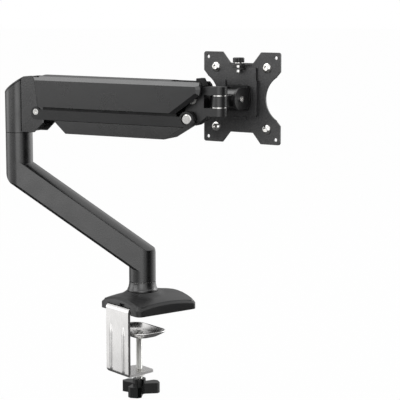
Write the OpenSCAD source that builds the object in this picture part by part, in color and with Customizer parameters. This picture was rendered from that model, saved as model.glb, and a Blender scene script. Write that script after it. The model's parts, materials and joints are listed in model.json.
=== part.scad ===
// Clamp-on monitor arm with a sprung, self-levelling upper arm.
// Frame: origin on the desk surface under the base swivel axis, +X along the
// rear edge of the desk, +Y from that edge towards the user, +Z up. Millimetres.

/* [Base] */
// Width of the base cover along the desk edge
base_w = 88; // [84:1:110]
// Reach of the cover from the swivel axis back to the desk edge
base_rear = 38; // [37:0.5:44]
// Reach of the cover from the swivel axis towards the user
base_front = 57; // [50:1:75]
// Crown height of the cover above the desk
cover_h = 23; // [21:0.5:26]
// Wall of the cover shell
cover_wall = 2.5; // [1.8:0.1:3.5]
// Corner radius of the base
corner_r = 7; // [4:0.5:12]
// Thickness of the rubber desk pad
pad_t = 1.8; // [1:0.1:3]
// Thickness of the steel base plate
plate_t = 3.5; // [3:0.1:5]

/* [Clamp] */
// Width of the clamp bracket
bracket_w = 50; // [40:1:60]
// Thickness of the clamp bracket steel
bracket_t = 3.5; // [2.5:0.1:4]
// Depth of the clamp bracket below the desk surface
bracket_drop = 83; // [70:1:120]
// Distance from the swivel axis to the clamp screw, towards the desk edge
spindle_y = 6; // [2:0.5:9]
// Outer radius of the clamp screw thread
spindle_r = 4; // [3:0.5:5]
// Opening between the desk surface and the rim of the pressure plate
jaw_gap = 25; // [20:1:32]
// Width of the pressure plate along the desk edge
press_w = 72; // [60:1:78]
// Depth of the pressure plate
press_d = 48; // [40:1:52]
// Height of the dished pressure plate
press_h = 9; // [7:0.5:12]
// Reach of the three handle lobes
handle_reach = 26.5; // [22:0.5:32]

/* [Lower arm] */
// Distance between the base axis and the elbow axis
lower_len = 159; // [140:1:220]
// Direction of the lower arm seen from above
lower_yaw = -130; // [-180:1:180]
// Outer radius of the round columns
column_r = 17.4; // [16.5:0.1:20]
// Height of the parting face at the elbow
elbow_z = 232; // [225:1:270]
// Height of the parting face at the base
base_z = 37; // [34:1:42]
// Height of the lower edge of the beam at the base axis
beam_z = 46.5; // [44:0.5:56]
// Rise of the beam between the two axes
beam_rise = 113; // [90:1:120]
// Height of the flat side of the beam
beam_flat = 26.4; // [22:0.2:30]
// Height of the rounded crown over the flat side
beam_crown = 7.6; // [4:0.2:10]

/* [Swivel joints] */
// Radius of the base shaft
base_shaft_r = 10; // [8:0.5:11]
// Radius of the elbow shaft
elbow_shaft_r = 9; // [7:0.5:10]
// Wall of the swivel bushes
bush_t = 2.5; // [1.5:0.1:3]
// Radial running clearance of shafts and pins
run_gap = 0.05; // [0.02:0.01:0.1]

/* [Upper arm] */
// Direction of the upper arm seen from above
upper_yaw = 28.5; // [-60:0.5:120]
// Distance from the elbow axis to the lift pivot
pivot_x = 36.3; // [35:0.1:42]
// Height of the lift pivot above the elbow parting face
pivot_rise = 28.7; // [28:0.1:34]
// Distance between the lift pivot and the front pivot
arm_len = 209.5; // [190:0.5:260]
// Droop of the upper arm at rest
droop = 0.9; // [0:0.1:3]
// Half width over the side covers
cover_y = 22; // [21.5:0.1:24]
// Wall of the side covers
shell_t = 2.2; // [1.6:0.1:2.2]
// Height of the side covers above the pivot line
cover_top = 45; // [44:0.5:50]
// Height of the lower edge of the side covers above the pivot line
cover_low = 6.6; // [6:0.1:9]
// Depth of the bevel along the top of the side covers
cover_bevel = 5; // [3:0.5:7]
// Depth of the lower cable cover below the pivot line
tray_low = 26; // [22:0.5:26]
// Half width over the side strips
strip_y = 19.5; // [19:0.1:19.5]
// Thickness of each elbow cheek
cheek_t = 2.4; // [2:0.1:3]
// Radius of the lift pin
lift_pin_r = 3.8; // [3:0.1:4]
// Radius of the front pivot pin
front_pin_r = 5; // [4:0.1:5.5]

/* [Linkage and spring] */
// Forward offset of the link pins from the pivots
link_dx = 3; // [2:0.5:4]
// Height of the link pins above the pivots
link_dz = 24; // [23:0.5:25]
// Radius of the link pins
link_pin_r = 2.5; // [2:0.1:3]
// Radius of the gas spring tube
tube_r = 8; // [6.5:0.1:8.2]
// Radius of the gas spring rod
rod_r = 3.5; // [3:0.1:4]
// Radius of the spring anchor pins
anchor_r = 3; // [2.5:0.1:3]

/* [Head] */
// Direction in which the screen plate faces, seen from above
head_yaw = 107; // [60:1:150]
// Reach from the front pivot to the head swivel axis
fork_reach = 34.7; // [34:0.1:44]
// Height of the head centre above the front pivot
head_rise = 21.6; // [20:0.1:26]
// Radius of the head knuckle and the fork lugs
knuckle_r = 10.4; // [10:0.1:11]
// Height of the head knuckle
knuckle_h = 13.6; // [12:0.1:15]
// Thickness of each fork lug
lug_t = 10; // [8:0.5:11]
// Distance between the swivel axis and the tilt axis
neck_len = 26; // [25:0.5:32]
// Height of the tilt axis above the head centre
tilt_rise = 2; // [0:0.1:4]
// Radius of the tilt hub
hub_r = 12; // [10:0.1:12.5]
// Width of the tilt hub
hub_w = 22; // [18:0.5:23]
// Radius of the rounded tilt ears
ear_r = 13.6; // [12.5:0.1:14.5]
// Thickness of the tilt ears
ear_t = 3; // [2.5:0.1:3]

/* [Screen plate] */
// Wider hole spacing of the screen plate
vesa_wide = 100; // [100:1:100]
// Narrower hole spacing of the screen plate
vesa_narrow = 75; // [75:1:75]
// Radius of the screw holes in the plate
vesa_hole_r = 2.3; // [2.2:0.05:2.6]
// Half width and half height of the screen plate
plate_half = 56.4; // [56:0.2:60]
// Thickness of the screen plate
vesa_t = 2.5; // [2:0.1:3]
// Thickness of the quick-release plate
carrier_t = 3; // [2.5:0.1:3.5]
// Radius of the rotation washer
rotor_r = 16.5; // [15:0.5:21]
// Radius of the release knob
knob_r = 7.2; // [6:0.1:8]

/* [Hidden] */
$fn = 64;
HULL_FN = 32;
CUT = 1;                                  // overlap that makes a cut break through
FIT = 0.3;                                // gap between neighbouring moving faces
SLIP = 0.2;                               // gap round a clipped or slid-in plate

BLACK = [0.09, 0.09, 0.095];
GRAPHITE = [0.16, 0.16, 0.165];
STEEL = [0.72, 0.72, 0.70];
NICKEL = [0.86, 0.85, 0.82];
NYLON = [0.85, 0.84, 0.80];
RUBBER = [0.05, 0.05, 0.05];

// ---- base levels ----
plate_z = pad_t + plate_t;                // top of the base plate
flange_z = plate_z + bracket_t;           // top of the clamp bracket flange
post_flange_r = 24;
post_flange_t = 5;
shoulder_r = 15;
shaft_top = base_z + 40;
tension_z = 20;                           // tension screws from the parting faces
// Crowned cover: a barrel of two radii, one across and one along
crown_across = 9;                         // drop of the crown at the long sides
crown_along = 4.5;                        // drop of the crown at the short sides
cover_mid = (base_front - base_rear) / 2;
half_w = base_w / 2;
half_l = (base_front + base_rear) / 2;
barrel_r = (half_w * half_w + crown_across * crown_across) / (2 * crown_across);
sweep_r = (half_l * half_l + crown_along * crown_along) / (2 * crown_along);
boss_r = 21;
boss_top = base_z - 12.5;
collar_r = column_r + 2.4;
collar_z = boss_top + FIT;

// ---- clamp levels ----
clamp_out = base_rear + 3;                // outer face of the clamp bracket
ledge_z = -bracket_drop + bracket_t;      // upper face of the lower ledge
ledge_end = 12;                           // ledge beyond the clamp screw
ledge_tip_w = 34;
rib_x = 14;
rib_r = 3;
rib_top = -16;
nut_h = 6;
nut_r = 7.5;
rim_z = -jaw_gap;
dish_z = rim_z - press_h;
press_t = 2;
handle_h = 14;
press_round = 14;                         // corner radius of the pressure plate
handle_gap = 10;                          // free thread between nut and handle
handle_z = -bracket_drop - nut_h - handle_gap - handle_h;
handle_yaw = 69;
hub_rise = 6;                             // handle hub over the lobes
lobe_w = 9;                               // half width of a lobe at its widest

// ---- lower arm levels ----
arm_z = base_z + 0.6;                     // underside of the lower arm column
beam_a = atan(beam_rise / lower_len);
beam_edge = 3.5;                          // chamfer under the flat side
beam_h = beam_edge + beam_flat + beam_crown;
crown_r = (column_r * column_r + beam_crown * beam_crown) / (2 * beam_crown);
elbow_round = 20;
base_round = 13;
channel_w = 24;
channel_h = 19;
lid_w = channel_w + 2.4;
lid_t = 3;
channel_end = 30;                         // channel stops this far from each axis
channel_to = lower_len - channel_end;
elbow_pos = lower_len * [cos(lower_yaw), sin(lower_yaw)];
base_bore_r = base_shaft_r + bush_t;
elbow_bore_r = elbow_shaft_r + bush_t;
bush_h = 12;
bore_len = 44;
elbow_bore_z = elbow_z - bore_len;
groove_h = 6;
groove_d = 1.5;
tension_r = 3;

// ---- elbow and upper arm levels ----
washer_t = 0.8;
bracket_z = elbow_z + washer_t;           // underside of the elbow bracket
pivot_z = elbow_z + pivot_rise;
front_x = pivot_x + arm_len * cos(droop);
front_z = pivot_z - arm_len * sin(droop);
head_z = front_z + head_rise;
tongue_t = 1.3;                           // strip end that lies over the cheek
tongue_in = strip_y - tongue_t;
tongue_r = 6.5;
cheek_out = tongue_in - FIT;
cheek_in = cheek_out - cheek_t;
blind_y = cheek_out - 1;                   // end of the blind pin holes in the cheeks
cheek_rear = -16;
cheek_low = 26.5;
web_top = 32;
cheek_sweep = 17.6;                       // circle that the cheeks sweep through
wall_out = cheek_in - FIT;                // frame walls between the cheeks
wall_t = 2.9;
wall_in = wall_out - wall_t;
lug_r = 12;
strip_top = 2.8;
strip_low = -9.8;
frame_top = 22;
frame_front = arm_len - 20;
floor_from = 30;                          // rear end of the frame floor
bracket_top = cover_top - 1;              // flat top of the elbow bracket
slant = 41;
slant_low = 49.6;                         // height of the column's rear edge
shaft_flange_t = 4;
floor_t = 10;
cap_t = 3;
bore_r = 13;
web_in = 9.5;
web_out = 16.5;
web_front = -13;
web_rear = 8;                             // web start past the column axis
link_in = 8.9;
link_t = 2.2;
link_r = 6;
channel_y = link_in + link_t;             // outer faces of the link channel
channel_top = 38;
channel_low = 25;
open_gap = 0.4;                           // radial play of the open link pivot
anchor_pos = [-8, 17];
eye_off = [0.4, -0.9];                    // rest offset of the open spring pivot
eye_gap = 1.5;                            // radial play of the open spring pivot
spring_pos = [arm_len - 44.5, 16];
eye_pos = anchor_pos + eye_off;
spring_len = norm(spring_pos - eye_pos);
spring_a = atan2(spring_pos[1] - eye_pos[1], spring_pos[0] - eye_pos[0]);
tube_from = 68;
tube_to = spring_len - 10;
front_boss_r = 9.5;
cap_r = 6.3;
cap_depth = 2;                            // recess that the front pin caps sit in
boss_rear = 40;
boss_front = arm_len - 31.5;
boss_x = [boss_rear, (boss_rear + boss_front) / 2, boss_front]; // cover bosses
boss_z = 31;
cover_boss_r = 3.6;
roof_split = 1.2;                         // half gap of the seam between covers
roof_crown = 1.8;
roof_notch = 13;                          // half width of the front roof notch
chin_x = arm_len - 14;                    // front end of the covers' lower edge
nose_x = arm_len + 17;                    // end of the edge that rises from it
nose_z = 29.6;
brow_x = arm_len + 18.3;                  // foremost point of the covers
brow_z = 37;
crest_x = arm_len + 13.7;
crest_z = cover_top + 5;
edge_band = 5;                            // width and depth of the front bevels
edge_depth = 1.7;
tray_wall = 2;
tray_top = strip_low - 0.5;
tray_rear = 26;
tray_sole = 43;                           // flat underside, rear end
tray_heel = arm_len - 29.5;               // flat underside, front end
tray_front = arm_len - 4.5;
rib_gap = 34;                             // clip ribs from the ends of the underside

// ---- head levels ----
disc_t = 1;                               // knuckle washers
fork_half = knuckle_h / 2 + disc_t;
knuckle_pin_r = 5;
block_y = 8.5;                            // half width of the bracket hub
fork_y = 10.5;
throat_x = fork_reach - knuckle_r - 5;    // back of the slot that holds the head
lug_low = head_rise - fork_half - lug_t;
lug_top = head_rise + fork_half + lug_t;
tilt_r = 3;
ear_in = hub_w / 2 + 0.8;
ear_out = ear_in + ear_t;
nut_t = 2.2;                              // low nut that clears the arm covers
base_tall = 32;
base_sq_t = 3.5;
rotor_t = 2.5;
tilt_base_x = hub_r + 2.5;                // arm side of the tilt bracket base
rotor_x = tilt_base_x + base_sq_t;
carrier_x = rotor_x + rotor_t + run_gap;
plate_x = carrier_x + carrier_t;
screen_x = plate_x + vesa_t;              // face that the screen rests on
rivet_r = 6;
carrier_w = 46;
carrier_low = -23;
tab_z = 40.5;                             // underside of the plate's top tab
tab_t = 2.5;
hook_z = 35;                              // underside of the carrier's top tab
release_x = screen_x - 9;
release_r = 2.4;
knob_h = 6;
head_r = 6.2;
head_h = 3.6;
stud_len = 8;
stud_r = 2;

// ==== placing ====
module at_elbow() {
    translate([elbow_pos[0], elbow_pos[1], 0]) rotate([0, 0, upper_yaw]) children();
}
module at_pivot() { at_elbow() translate([pivot_x, 0, pivot_z]) children(); }
module at_arm() { at_pivot() rotate([0, droop, 0]) children(); }
module at_front() { at_elbow() translate([front_x, 0, front_z]) children(); }
module at_head() {
    at_elbow() translate([front_x + fork_reach, 0, head_z])
        rotate([0, 0, head_yaw - upper_yaw]) children();
}
module at_tilt() { at_head() translate([neck_len, 0, tilt_rise]) children(); }
module at_spring() {
    at_arm() translate([eye_pos[0], 0, eye_pos[1]]) rotate([0, -spring_a, 0]) children();
}
module both_sides() {
    children();
    mirror([0, 1, 0]) children();
}
// A side outline (x, z) given the thickness from y0 to y1
module slab(y0, y1) {
    translate([0, y1, 0]) rotate([90, 0, 0]) linear_extrude(y1 - y0) children();
}
module across(x, z, r, y0, y1) {
    translate([x, y1, z]) rotate([90, 0, 0]) cylinder(r = r, h = y1 - y0);
}
module ring(r_out, r_in, h) {
    difference() {
        cylinder(r = r_out, h = h);
        translate([0, 0, -CUT]) cylinder(r = r_in, h = h + 2 * CUT);
    }
}
module rounded_rect(w, d, r) {
    for (sx = [-1, 1], sy = [-1, 1])
        translate([sx * (w / 2 - r), sy * (d / 2 - r)]) circle(r);
    square([w - 2 * r, d], center = true);
    square([w, d - 2 * r], center = true);
}
module hex_socket(r, depth) { cylinder(r = r, h = depth, $fn = 6); }

// ==== base ====
module base_outline(inset) {
    translate([0, cover_mid])
        rounded_rect(base_w - 2 * inset, 2 * half_l - 2 * inset, corner_r - inset / 2);
}
module barrel(inset) {
    r = barrel_r - inset;
    translate([0, cover_mid, cover_h - sweep_r]) rotate([0, 90, 0])
        rotate_extrude($fn = 96) translate([sweep_r - barrel_r, 0]) intersection() {
            circle(r, $fn = 96);
            translate([0, -half_w * 1.2]) square([2 * barrel_r, half_w * 2.4]);
        }
}
module base_cover() {
    color(BLACK) difference() {
        union() {
            intersection() {
                linear_extrude(cover_h + CUT) base_outline(0);
                barrel(0);
            }
            cylinder(r = boss_r, h = boss_top);
        }
        intersection() {
            translate([0, 0, -CUT]) linear_extrude(cover_h) base_outline(cover_wall);
            barrel(cover_wall);
        }
        translate([0, 0, -CUT]) cylinder(r = shoulder_r + FIT, h = boss_top + 2 * CUT);
        translate([0, 0, -CUT]) cylinder(r = boss_r - cover_wall, h = boss_top - cover_wall + CUT);
        translate([-bracket_w / 2 - 1, -base_rear - CUT, -CUT])
            cube([bracket_w + 2, cover_wall + 2 * CUT, flange_z + CUT + FIT]);
    }
}
module base_plate() {
    color(STEEL) translate([0, 0, pad_t]) difference() {
        linear_extrude(plate_t) base_outline(cover_wall + FIT);
        for (a = [90, 210, 330]) rotate([0, 0, a]) translate([post_flange_r - 5, 0, -CUT])
            cylinder(r = 2.5, h = plate_t + 2 * CUT);
        for (sx = [-1, 1]) translate([sx * rib_x, -base_rear + 8, -CUT])
            cylinder(r = 2.5, h = plate_t + 2 * CUT);
    }
}
module base_pad() {
    color(RUBBER) linear_extrude(pad_t) base_outline(cover_wall + FIT);
}
module base_post() {
    color(STEEL) difference() {
        union() {
            translate([0, 0, plate_z]) cylinder(r = post_flange_r, h = post_flange_t);
            translate([0, 0, plate_z]) cylinder(r = shoulder_r, h = base_z - plate_z);
            translate([0, 0, plate_z]) cylinder(r = base_shaft_r, h = shaft_top - plate_z);
        }
        translate([0, 0, base_z + tension_z - groove_h / 2])
            ring(base_shaft_r + CUT, base_shaft_r - groove_d, groove_h);
        for (a = [90, 210, 330]) rotate([0, 0, a]) translate([post_flange_r - 5, 0, plate_z - CUT])
            cylinder(r = 2.5, h = post_flange_t + 2 * CUT);
        translate([-bracket_w, -post_flange_r - CUT, plate_z - CUT])
            cube([2 * bracket_w, post_flange_r - 17 + CUT, bracket_t + FIT + CUT]);
    }
}
module post_bolts() {
    color(NICKEL) for (a = [90, 210, 330]) rotate([0, 0, a])
        translate([post_flange_r - 5, 0, pad_t]) {
            cylinder(r = 2.5, h = plate_t + post_flange_t);
            translate([0, 0, plate_t + post_flange_t]) cylinder(r = 3.8, h = 2.4);
        }
}
module swivel_collar() {
    flare = 4;
    color(GRAPHITE) rotate_extrude() polygon([
        [shoulder_r + SLIP, collar_z], [collar_r, collar_z], [collar_r, collar_z + 2],
        [collar_r - 1.1, collar_z + flare], [column_r + 0.2, collar_z + 9],
        [column_r, base_z - FIT], [shoulder_r + SLIP, base_z - FIT]]);
}

// ==== clamp ====
module bracket_flange_outline() {
    translate([-bracket_w / 2, -clamp_out]) square([bracket_w, clamp_out - 18]);
}
module ledge_outline() {
    y_end = -spindle_y + ledge_end;
    polygon([[-bracket_w / 2, -clamp_out], [bracket_w / 2, -clamp_out],
             [bracket_w / 2, -clamp_out + 12], [ledge_tip_w / 2, y_end - 3],
             [ledge_tip_w / 2 - 3, y_end], [-ledge_tip_w / 2 + 3, y_end],
             [-ledge_tip_w / 2, y_end - 3], [-bracket_w / 2, -clamp_out + 12]]);
}
module clamp_bracket() {
    bend = 5;
    h = bracket_drop + flange_z;
    color(NICKEL) difference() {
        union() {
            translate([0, 0, plate_z]) linear_extrude(bracket_t) bracket_flange_outline();
            translate([0, 0, -bracket_drop]) linear_extrude(bracket_t) ledge_outline();
            translate([-bracket_w / 2, -clamp_out, -bracket_drop])
                cube([bracket_w, bracket_t, h]);
            for (sx = [-1, 1]) intersection() {
                translate([sx * rib_x, -clamp_out + rib_r - 1.5, -bracket_drop])
                    cylinder(r = rib_r, h = bracket_drop + rib_top);
                translate([-bracket_w, -clamp_out - rib_r, -bracket_drop])
                    cube([2 * bracket_w, rib_r + bracket_t, bracket_drop]);
            }
        }
        // rounded outer bend at the top
        translate([-bracket_w / 2 - CUT, -clamp_out, flange_z]) rotate([0, 90, 0])
            linear_extrude(bracket_w + 2 * CUT) difference() {
                translate([-CUT, -CUT]) square([bend + CUT, bend + CUT]);
                translate([bend, bend]) circle(bend);
            }
        // rounded outer bend at the ledge
        translate([-bracket_w / 2 - CUT, -clamp_out, -bracket_drop]) rotate([0, 90, 0])
            linear_extrude(bracket_w + 2 * CUT) difference() {
                translate([-bend, -rib_r]) square([bend + CUT, bend + rib_r]);
                translate([-bend, bend]) circle(bend);
                translate([-bend - CUT, -rib_r - CUT]) square([CUT, 3 * bend]);
            }
        // rounded lower corners
        for (sx = [-1, 1]) scale([sx, 1, 1])
            translate([bracket_w / 2 - bend, 0, -bracket_drop + bend])
                slab(-clamp_out - rib_r - CUT, -clamp_out + 12) difference() {
                    translate([0, -bend - CUT]) square([bend + CUT, bend + CUT]);
                    circle(bend);
                }
        translate([0, -spindle_y, -bracket_drop - CUT])
            cylinder(r = spindle_r + 0.5, h = bracket_t + 2 * CUT);
        for (sx = [-1, 1]) translate([sx * rib_x, -base_rear + 8, plate_z - CUT])
            cylinder(r = 2.5, h = bracket_t + 2 * CUT);
    }
}
module bracket_bolts() {
    color(NICKEL) for (sx = [-1, 1]) translate([sx * rib_x, -base_rear + 8, pad_t]) {
        cylinder(r = 2.5, h = plate_t + bracket_t);
        translate([0, 0, plate_t + bracket_t]) cylinder(r = 4.2, h = 2.4);
    }
}
module clamp_nut() {
    color(NICKEL) translate([0, -spindle_y, -bracket_drop - nut_h]) difference() {
        cylinder(r = nut_r, h = nut_h, $fn = 6);
        translate([0, 0, -CUT]) cylinder(r = spindle_r + run_gap, h = nut_h + 2 * CUT);
    }
}
module dish(w, d, low_w, low_d, h) {
    hull() {
        translate([0, 0, h - 1.5]) linear_extrude(1.5)
            rounded_rect(w, d, press_round, $fn = HULL_FN);
        linear_extrude(1) rounded_rect(low_w, low_d, 9, $fn = HULL_FN);
    }
}
module pressure_plate() {
    color(NICKEL) translate([0, -spindle_y, dish_z]) difference() {
        dish(press_w, press_d, press_w - 20, press_d - 14, press_h);
        translate([0, 0, press_t])
            dish(press_w - 4, press_d - 4, press_w - 24, press_d - 18, press_h);
        translate([0, 0, -CUT]) cylinder(r = spindle_r - 0.9, h = press_h);
    }
}
module pressure_rivet() {
    color(STEEL) translate([0, -spindle_y, dish_z + press_t])
        ring(6, spindle_r - 1 + run_gap, 1.6);
}
module clamp_spindle() {
    neck_h = press_t + 1.6 + 0.6;
    color(NICKEL) translate([0, -spindle_y, 0]) {
        translate([0, 0, handle_z]) cylinder(r = spindle_r, h = dish_z - FIT - handle_z);
        translate([0, 0, dish_z - FIT - CUT]) cylinder(r = spindle_r - 1, h = neck_h + CUT);
        translate([0, 0, dish_z - FIT + neck_h]) cylinder(r = spindle_r, h = 1.6);
    }
}
module clamp_handle() {
    chamfer = 4;
    color(BLACK) translate([0, -spindle_y, handle_z]) difference() {
        union() {
            cylinder(r = 8.5, h = handle_h + hub_rise);
            for (a = [0, 120, 240]) rotate([0, 0, handle_yaw + a]) linear_extrude(handle_h)
                polygon([[0, -5.5], [handle_reach - chamfer, -lobe_w],
                         [handle_reach, -lobe_w + chamfer], [handle_reach, lobe_w - chamfer],
                         [handle_reach - chamfer, lobe_w], [0, 5.5]]);
        }
        translate([0, 0, -CUT]) cylinder(r = spindle_r, h = handle_h + hub_rise + 2 * CUT);
    }
}

// ==== lower arm ====
module beam_frame() { translate([0, 0, beam_z]) rotate([0, -beam_a, 0]) children(); }
function low_line(u) = beam_z + u * tan(beam_a);
function top_line(u) = low_line(u) + beam_h / cos(beam_a);
function round_u() = lower_len + column_r - elbow_round;
function round_z() = low_line(round_u()) + elbow_round / cos(beam_a);
function rear_z() = top_line(base_round - column_r) - base_round / cos(beam_a);
module lower_outline() {
    uc = round_u();
    zc = round_z();
    ub = base_round - column_r;
    zb = rear_z();
    polygon([[-column_r, arm_z], [column_r, arm_z], [column_r, low_line(column_r)],
             [uc + elbow_round * sin(beam_a), zc - elbow_round * cos(beam_a)],
             [uc, zc], [lower_len + column_r, zc], [lower_len + column_r, elbow_z],
             [lower_len - column_r, elbow_z],
             [lower_len - column_r, top_line(lower_len - column_r)],
             [ub - base_round * sin(beam_a), zb + base_round * cos(beam_a)],
             [ub, zb], [-column_r, zb]]);
    translate([uc, zc]) circle(elbow_round);
    translate([ub, zb]) circle(base_round);
}
module beam_section() {
    intersection() {
        polygon([[-column_r + beam_edge, 0], [column_r - beam_edge, 0],
                 [column_r, beam_edge], [column_r, beam_h], [-column_r, beam_h],
                 [-column_r, beam_edge]]);
        translate([0, beam_h - crown_r]) circle(crown_r, $fn = 96);
    }
}
module beam() {
    intersection() {
        beam_frame() translate([-lower_len, 0, 0]) rotate([90, 0, 90])
            linear_extrude(3 * lower_len) beam_section();
        union() {
            cylinder(r = column_r, h = elbow_z);
            translate([lower_len, 0, 0]) cylinder(r = column_r, h = elbow_z);
            translate([0, -column_r, 0]) cube([lower_len, 2 * column_r, elbow_z]);
        }
        slab(-2 * column_r, 2 * column_r) lower_outline();
    }
}
module lower_columns() {
    translate([0, 0, arm_z]) cylinder(r = column_r, h = rear_z() - arm_z);
    translate([lower_len, 0, round_z()]) cylinder(r = column_r, h = elbow_z - round_z());
}
module lid_space(grow) {
    beam_frame() translate([channel_end / cos(beam_a) - grow, -lid_w / 2 - grow, -CUT])
        cube([(channel_to - channel_end) / cos(beam_a) + 2 * grow, lid_w + 2 * grow,
              lid_t + CUT]);
}
module lower_arm_casting() {
    color(GRAPHITE) rotate([0, 0, lower_yaw]) difference() {
        union() {
            beam();
            lower_columns();
        }
        translate([0, 0, arm_z - CUT]) cylinder(r = base_bore_r, h = shaft_top - arm_z + CUT + 1);
        translate([lower_len, 0, elbow_bore_z]) cylinder(r = elbow_bore_r, h = elbow_z);
        lid_space(SLIP);
        beam_frame() translate([channel_end / cos(beam_a) + 2, -channel_w / 2, -CUT])
            cube([(channel_to - channel_end) / cos(beam_a) - 4, channel_w, channel_h + CUT]);
        for (p = [[0, base_z + tension_z], [lower_len, elbow_z - tension_z]])
            translate([p[0], CUT, p[1]]) rotate([90, 0, 0])
                cylinder(r = tension_r, h = column_r + 2 * CUT);
    }
}
module lower_cable_cover() {
    color(BLACK) rotate([0, 0, lower_yaw]) intersection() {
        lid_space(0);
        beam_frame() translate([0, -lid_w, 0]) cube([2 * lower_len, 2 * lid_w, beam_h]);
    }
}
module bush(r_in, flange) {
    ring(r_in + bush_t, r_in + run_gap, bush_h);
    if (flange > 0) translate([0, 0, -flange]) ring(r_in + bush_t + 3, r_in + run_gap, flange);
}
module base_bushes() {
    color(NYLON) {
        translate([0, 0, arm_z]) bush(base_shaft_r, arm_z - base_z);
        translate([0, 0, shaft_top - bush_h]) bush(base_shaft_r, 0);
    }
}
module elbow_bushes() {
    color(NYLON) translate([elbow_pos[0], elbow_pos[1], 0]) {
        translate([0, 0, elbow_z - bush_h]) bush(elbow_shaft_r, 0);
        translate([0, 0, elbow_bore_z]) bush(elbow_shaft_r, 0);
    }
}
module elbow_washer() {
    color(NYLON) translate([elbow_pos[0], elbow_pos[1], elbow_z])
        ring(column_r - 0.8, elbow_shaft_r + FIT, washer_t);
}
module tension_screw(tip) {
    rotate([90, 0, 0]) difference() {
        translate([0, 0, tip]) cylinder(r = tension_r, h = column_r - 1 - tip);
        translate([0, 0, column_r - 3]) hex_socket(1.5, 2 + CUT);
    }
}
module tension_screws() {
    color(STEEL) rotate([0, 0, lower_yaw]) {
        translate([0, 0, base_z + tension_z]) tension_screw(base_shaft_r - groove_d + 0.4);
        translate([lower_len, 0, elbow_z - tension_z]) tension_screw(elbow_shaft_r - groove_d + 0.4);
    }
}

// ==== elbow ====
// Side outline of the slanted column, lowered by d
module slant_outline(d) {
    x0 = -pivot_x - column_r;
    z0 = slant_low - pivot_rise - d;
    run = (bracket_top - d - z0) / tan(slant);
    polygon([[x0 - CUT, bracket_z - pivot_z], [x0 - CUT, z0], [x0, z0],
             [x0 + run, bracket_top - d], [2, bracket_top - d], [2, bracket_z - pivot_z]]);
}
module cheek_outline() {
    polygon([[cheek_rear, bracket_top], [8, bracket_top], [10, 6], [9, -14],
             [-4, -cheek_low], [cheek_rear, -cheek_low]]);
}
module elbow_bracket() {
    color(GRAPHITE) difference() {
        union() {
            at_pivot() intersection() {
                slab(-column_r, column_r) slant_outline(cap_t);
                translate([-pivot_x, 0, -pivot_z]) cylinder(r = column_r, h = 2 * pivot_z);
            }
            at_pivot() both_sides() slab(cheek_in, cheek_out) cheek_outline();
            at_pivot() translate([-pivot_x + web_rear, -web_out, -cheek_low])
                cube([web_front + pivot_x - web_rear, 2 * web_out, cheek_low + web_top]);
            at_pivot() translate([-pivot_x + web_rear, -web_out, 0])
                cube([cheek_rear + pivot_x - web_rear + 0.5, 2 * web_out, bracket_top]);
        }
        at_elbow() translate([0, 0, bracket_z - CUT])
            cylinder(r = elbow_shaft_r, h = floor_t + 2 * CUT);
        at_elbow() translate([0, 0, bracket_z + floor_t])
            cylinder(r = bore_r, h = pivot_z);
        at_pivot() translate([-pivot_x, -web_in, bracket_z + floor_t - pivot_z])
            cube([pivot_x, 2 * web_in, bracket_top - cap_t - (bracket_z + floor_t - pivot_z)]);
        at_arm() across(0, 0, lift_pin_r, -strip_y, strip_y);
        at_arm() across(anchor_pos[0], anchor_pos[1], anchor_r, -blind_y, blind_y);
        at_arm() both_sides() across(link_dx, link_dz, link_pin_r, cheek_in - CUT, blind_y);
    }
}
module elbow_cap() {
    color(BLACK) at_pivot() difference() {
        intersection() {
            slab(-column_r, column_r) slant_outline(0);
            translate([-pivot_x, 0, -pivot_z]) cylinder(r = column_r, h = 2 * pivot_z);
        }
        slab(-column_r - CUT, column_r + CUT) slant_outline(cap_t);
        translate([-pivot_x + web_rear, -web_out - CUT, 0])
            cube([pivot_x, 2 * web_out + 2 * CUT, bracket_top + CUT]);
    }
}
module elbow_shaft() {
    color(STEEL) at_elbow() difference() {
        union() {
            translate([0, 0, elbow_bore_z + 2])
                cylinder(r = elbow_shaft_r, h = bracket_z + floor_t - elbow_bore_z - 2);
            translate([0, 0, bracket_z + floor_t]) cylinder(r = 12, h = shaft_flange_t);
        }
        translate([0, 0, elbow_z - tension_z - groove_h / 2])
            ring(elbow_shaft_r + CUT, elbow_shaft_r - groove_d, groove_h);
    }
}
module lift_pin() {
    color(NICKEL) at_arm() difference() {
        across(0, 0, lift_pin_r, -strip_y - 0.1, strip_y + 0.1);
        both_sides() translate([0, strip_y + 0.1 - 2, 0]) rotate([-90, 0, 0])
            hex_socket(1.7, 2 + CUT);
    }
}
module link_rear_pins() {
    color(STEEL) at_arm() both_sides() {
        across(link_dx, link_dz, link_pin_r, link_in - 1.2, blind_y);
        across(link_dx, link_dz, link_pin_r + 1.5, link_in - 1.2, link_in - FIT);
    }
}
module spring_anchor_pin() {
    color(STEEL) at_arm() across(anchor_pos[0], anchor_pos[1], anchor_r, -blind_y, blind_y);
}

// ==== upper arm ====
module frame_side() {
    difference() {
        union() {
            polygon([[0, strip_low], [floor_from, strip_low], [floor_from, frame_top],
                     [24, frame_top], [16, strip_top + 3], [0, strip_top + 3]]);
            circle(lug_r);
            translate([24, strip_low]) square([arm_len - 35 - 24, frame_top - strip_low]);
            translate([20, strip_low]) square([arm_len - 20, strip_top - strip_low]);
            translate([arm_len, 0]) circle(front_boss_r);
        }
        translate([-2 * lug_r, strip_low - 2 * lug_r]) square([4 * lug_r, 2 * lug_r]);
    }
}
module strip_side() {
    difference() {
        union() {
            translate([0, strip_low]) square([arm_len, strip_top - strip_low]);
            translate([arm_len, 0]) circle(front_boss_r);
        }
        circle(cheek_sweep);
    }
}
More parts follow.
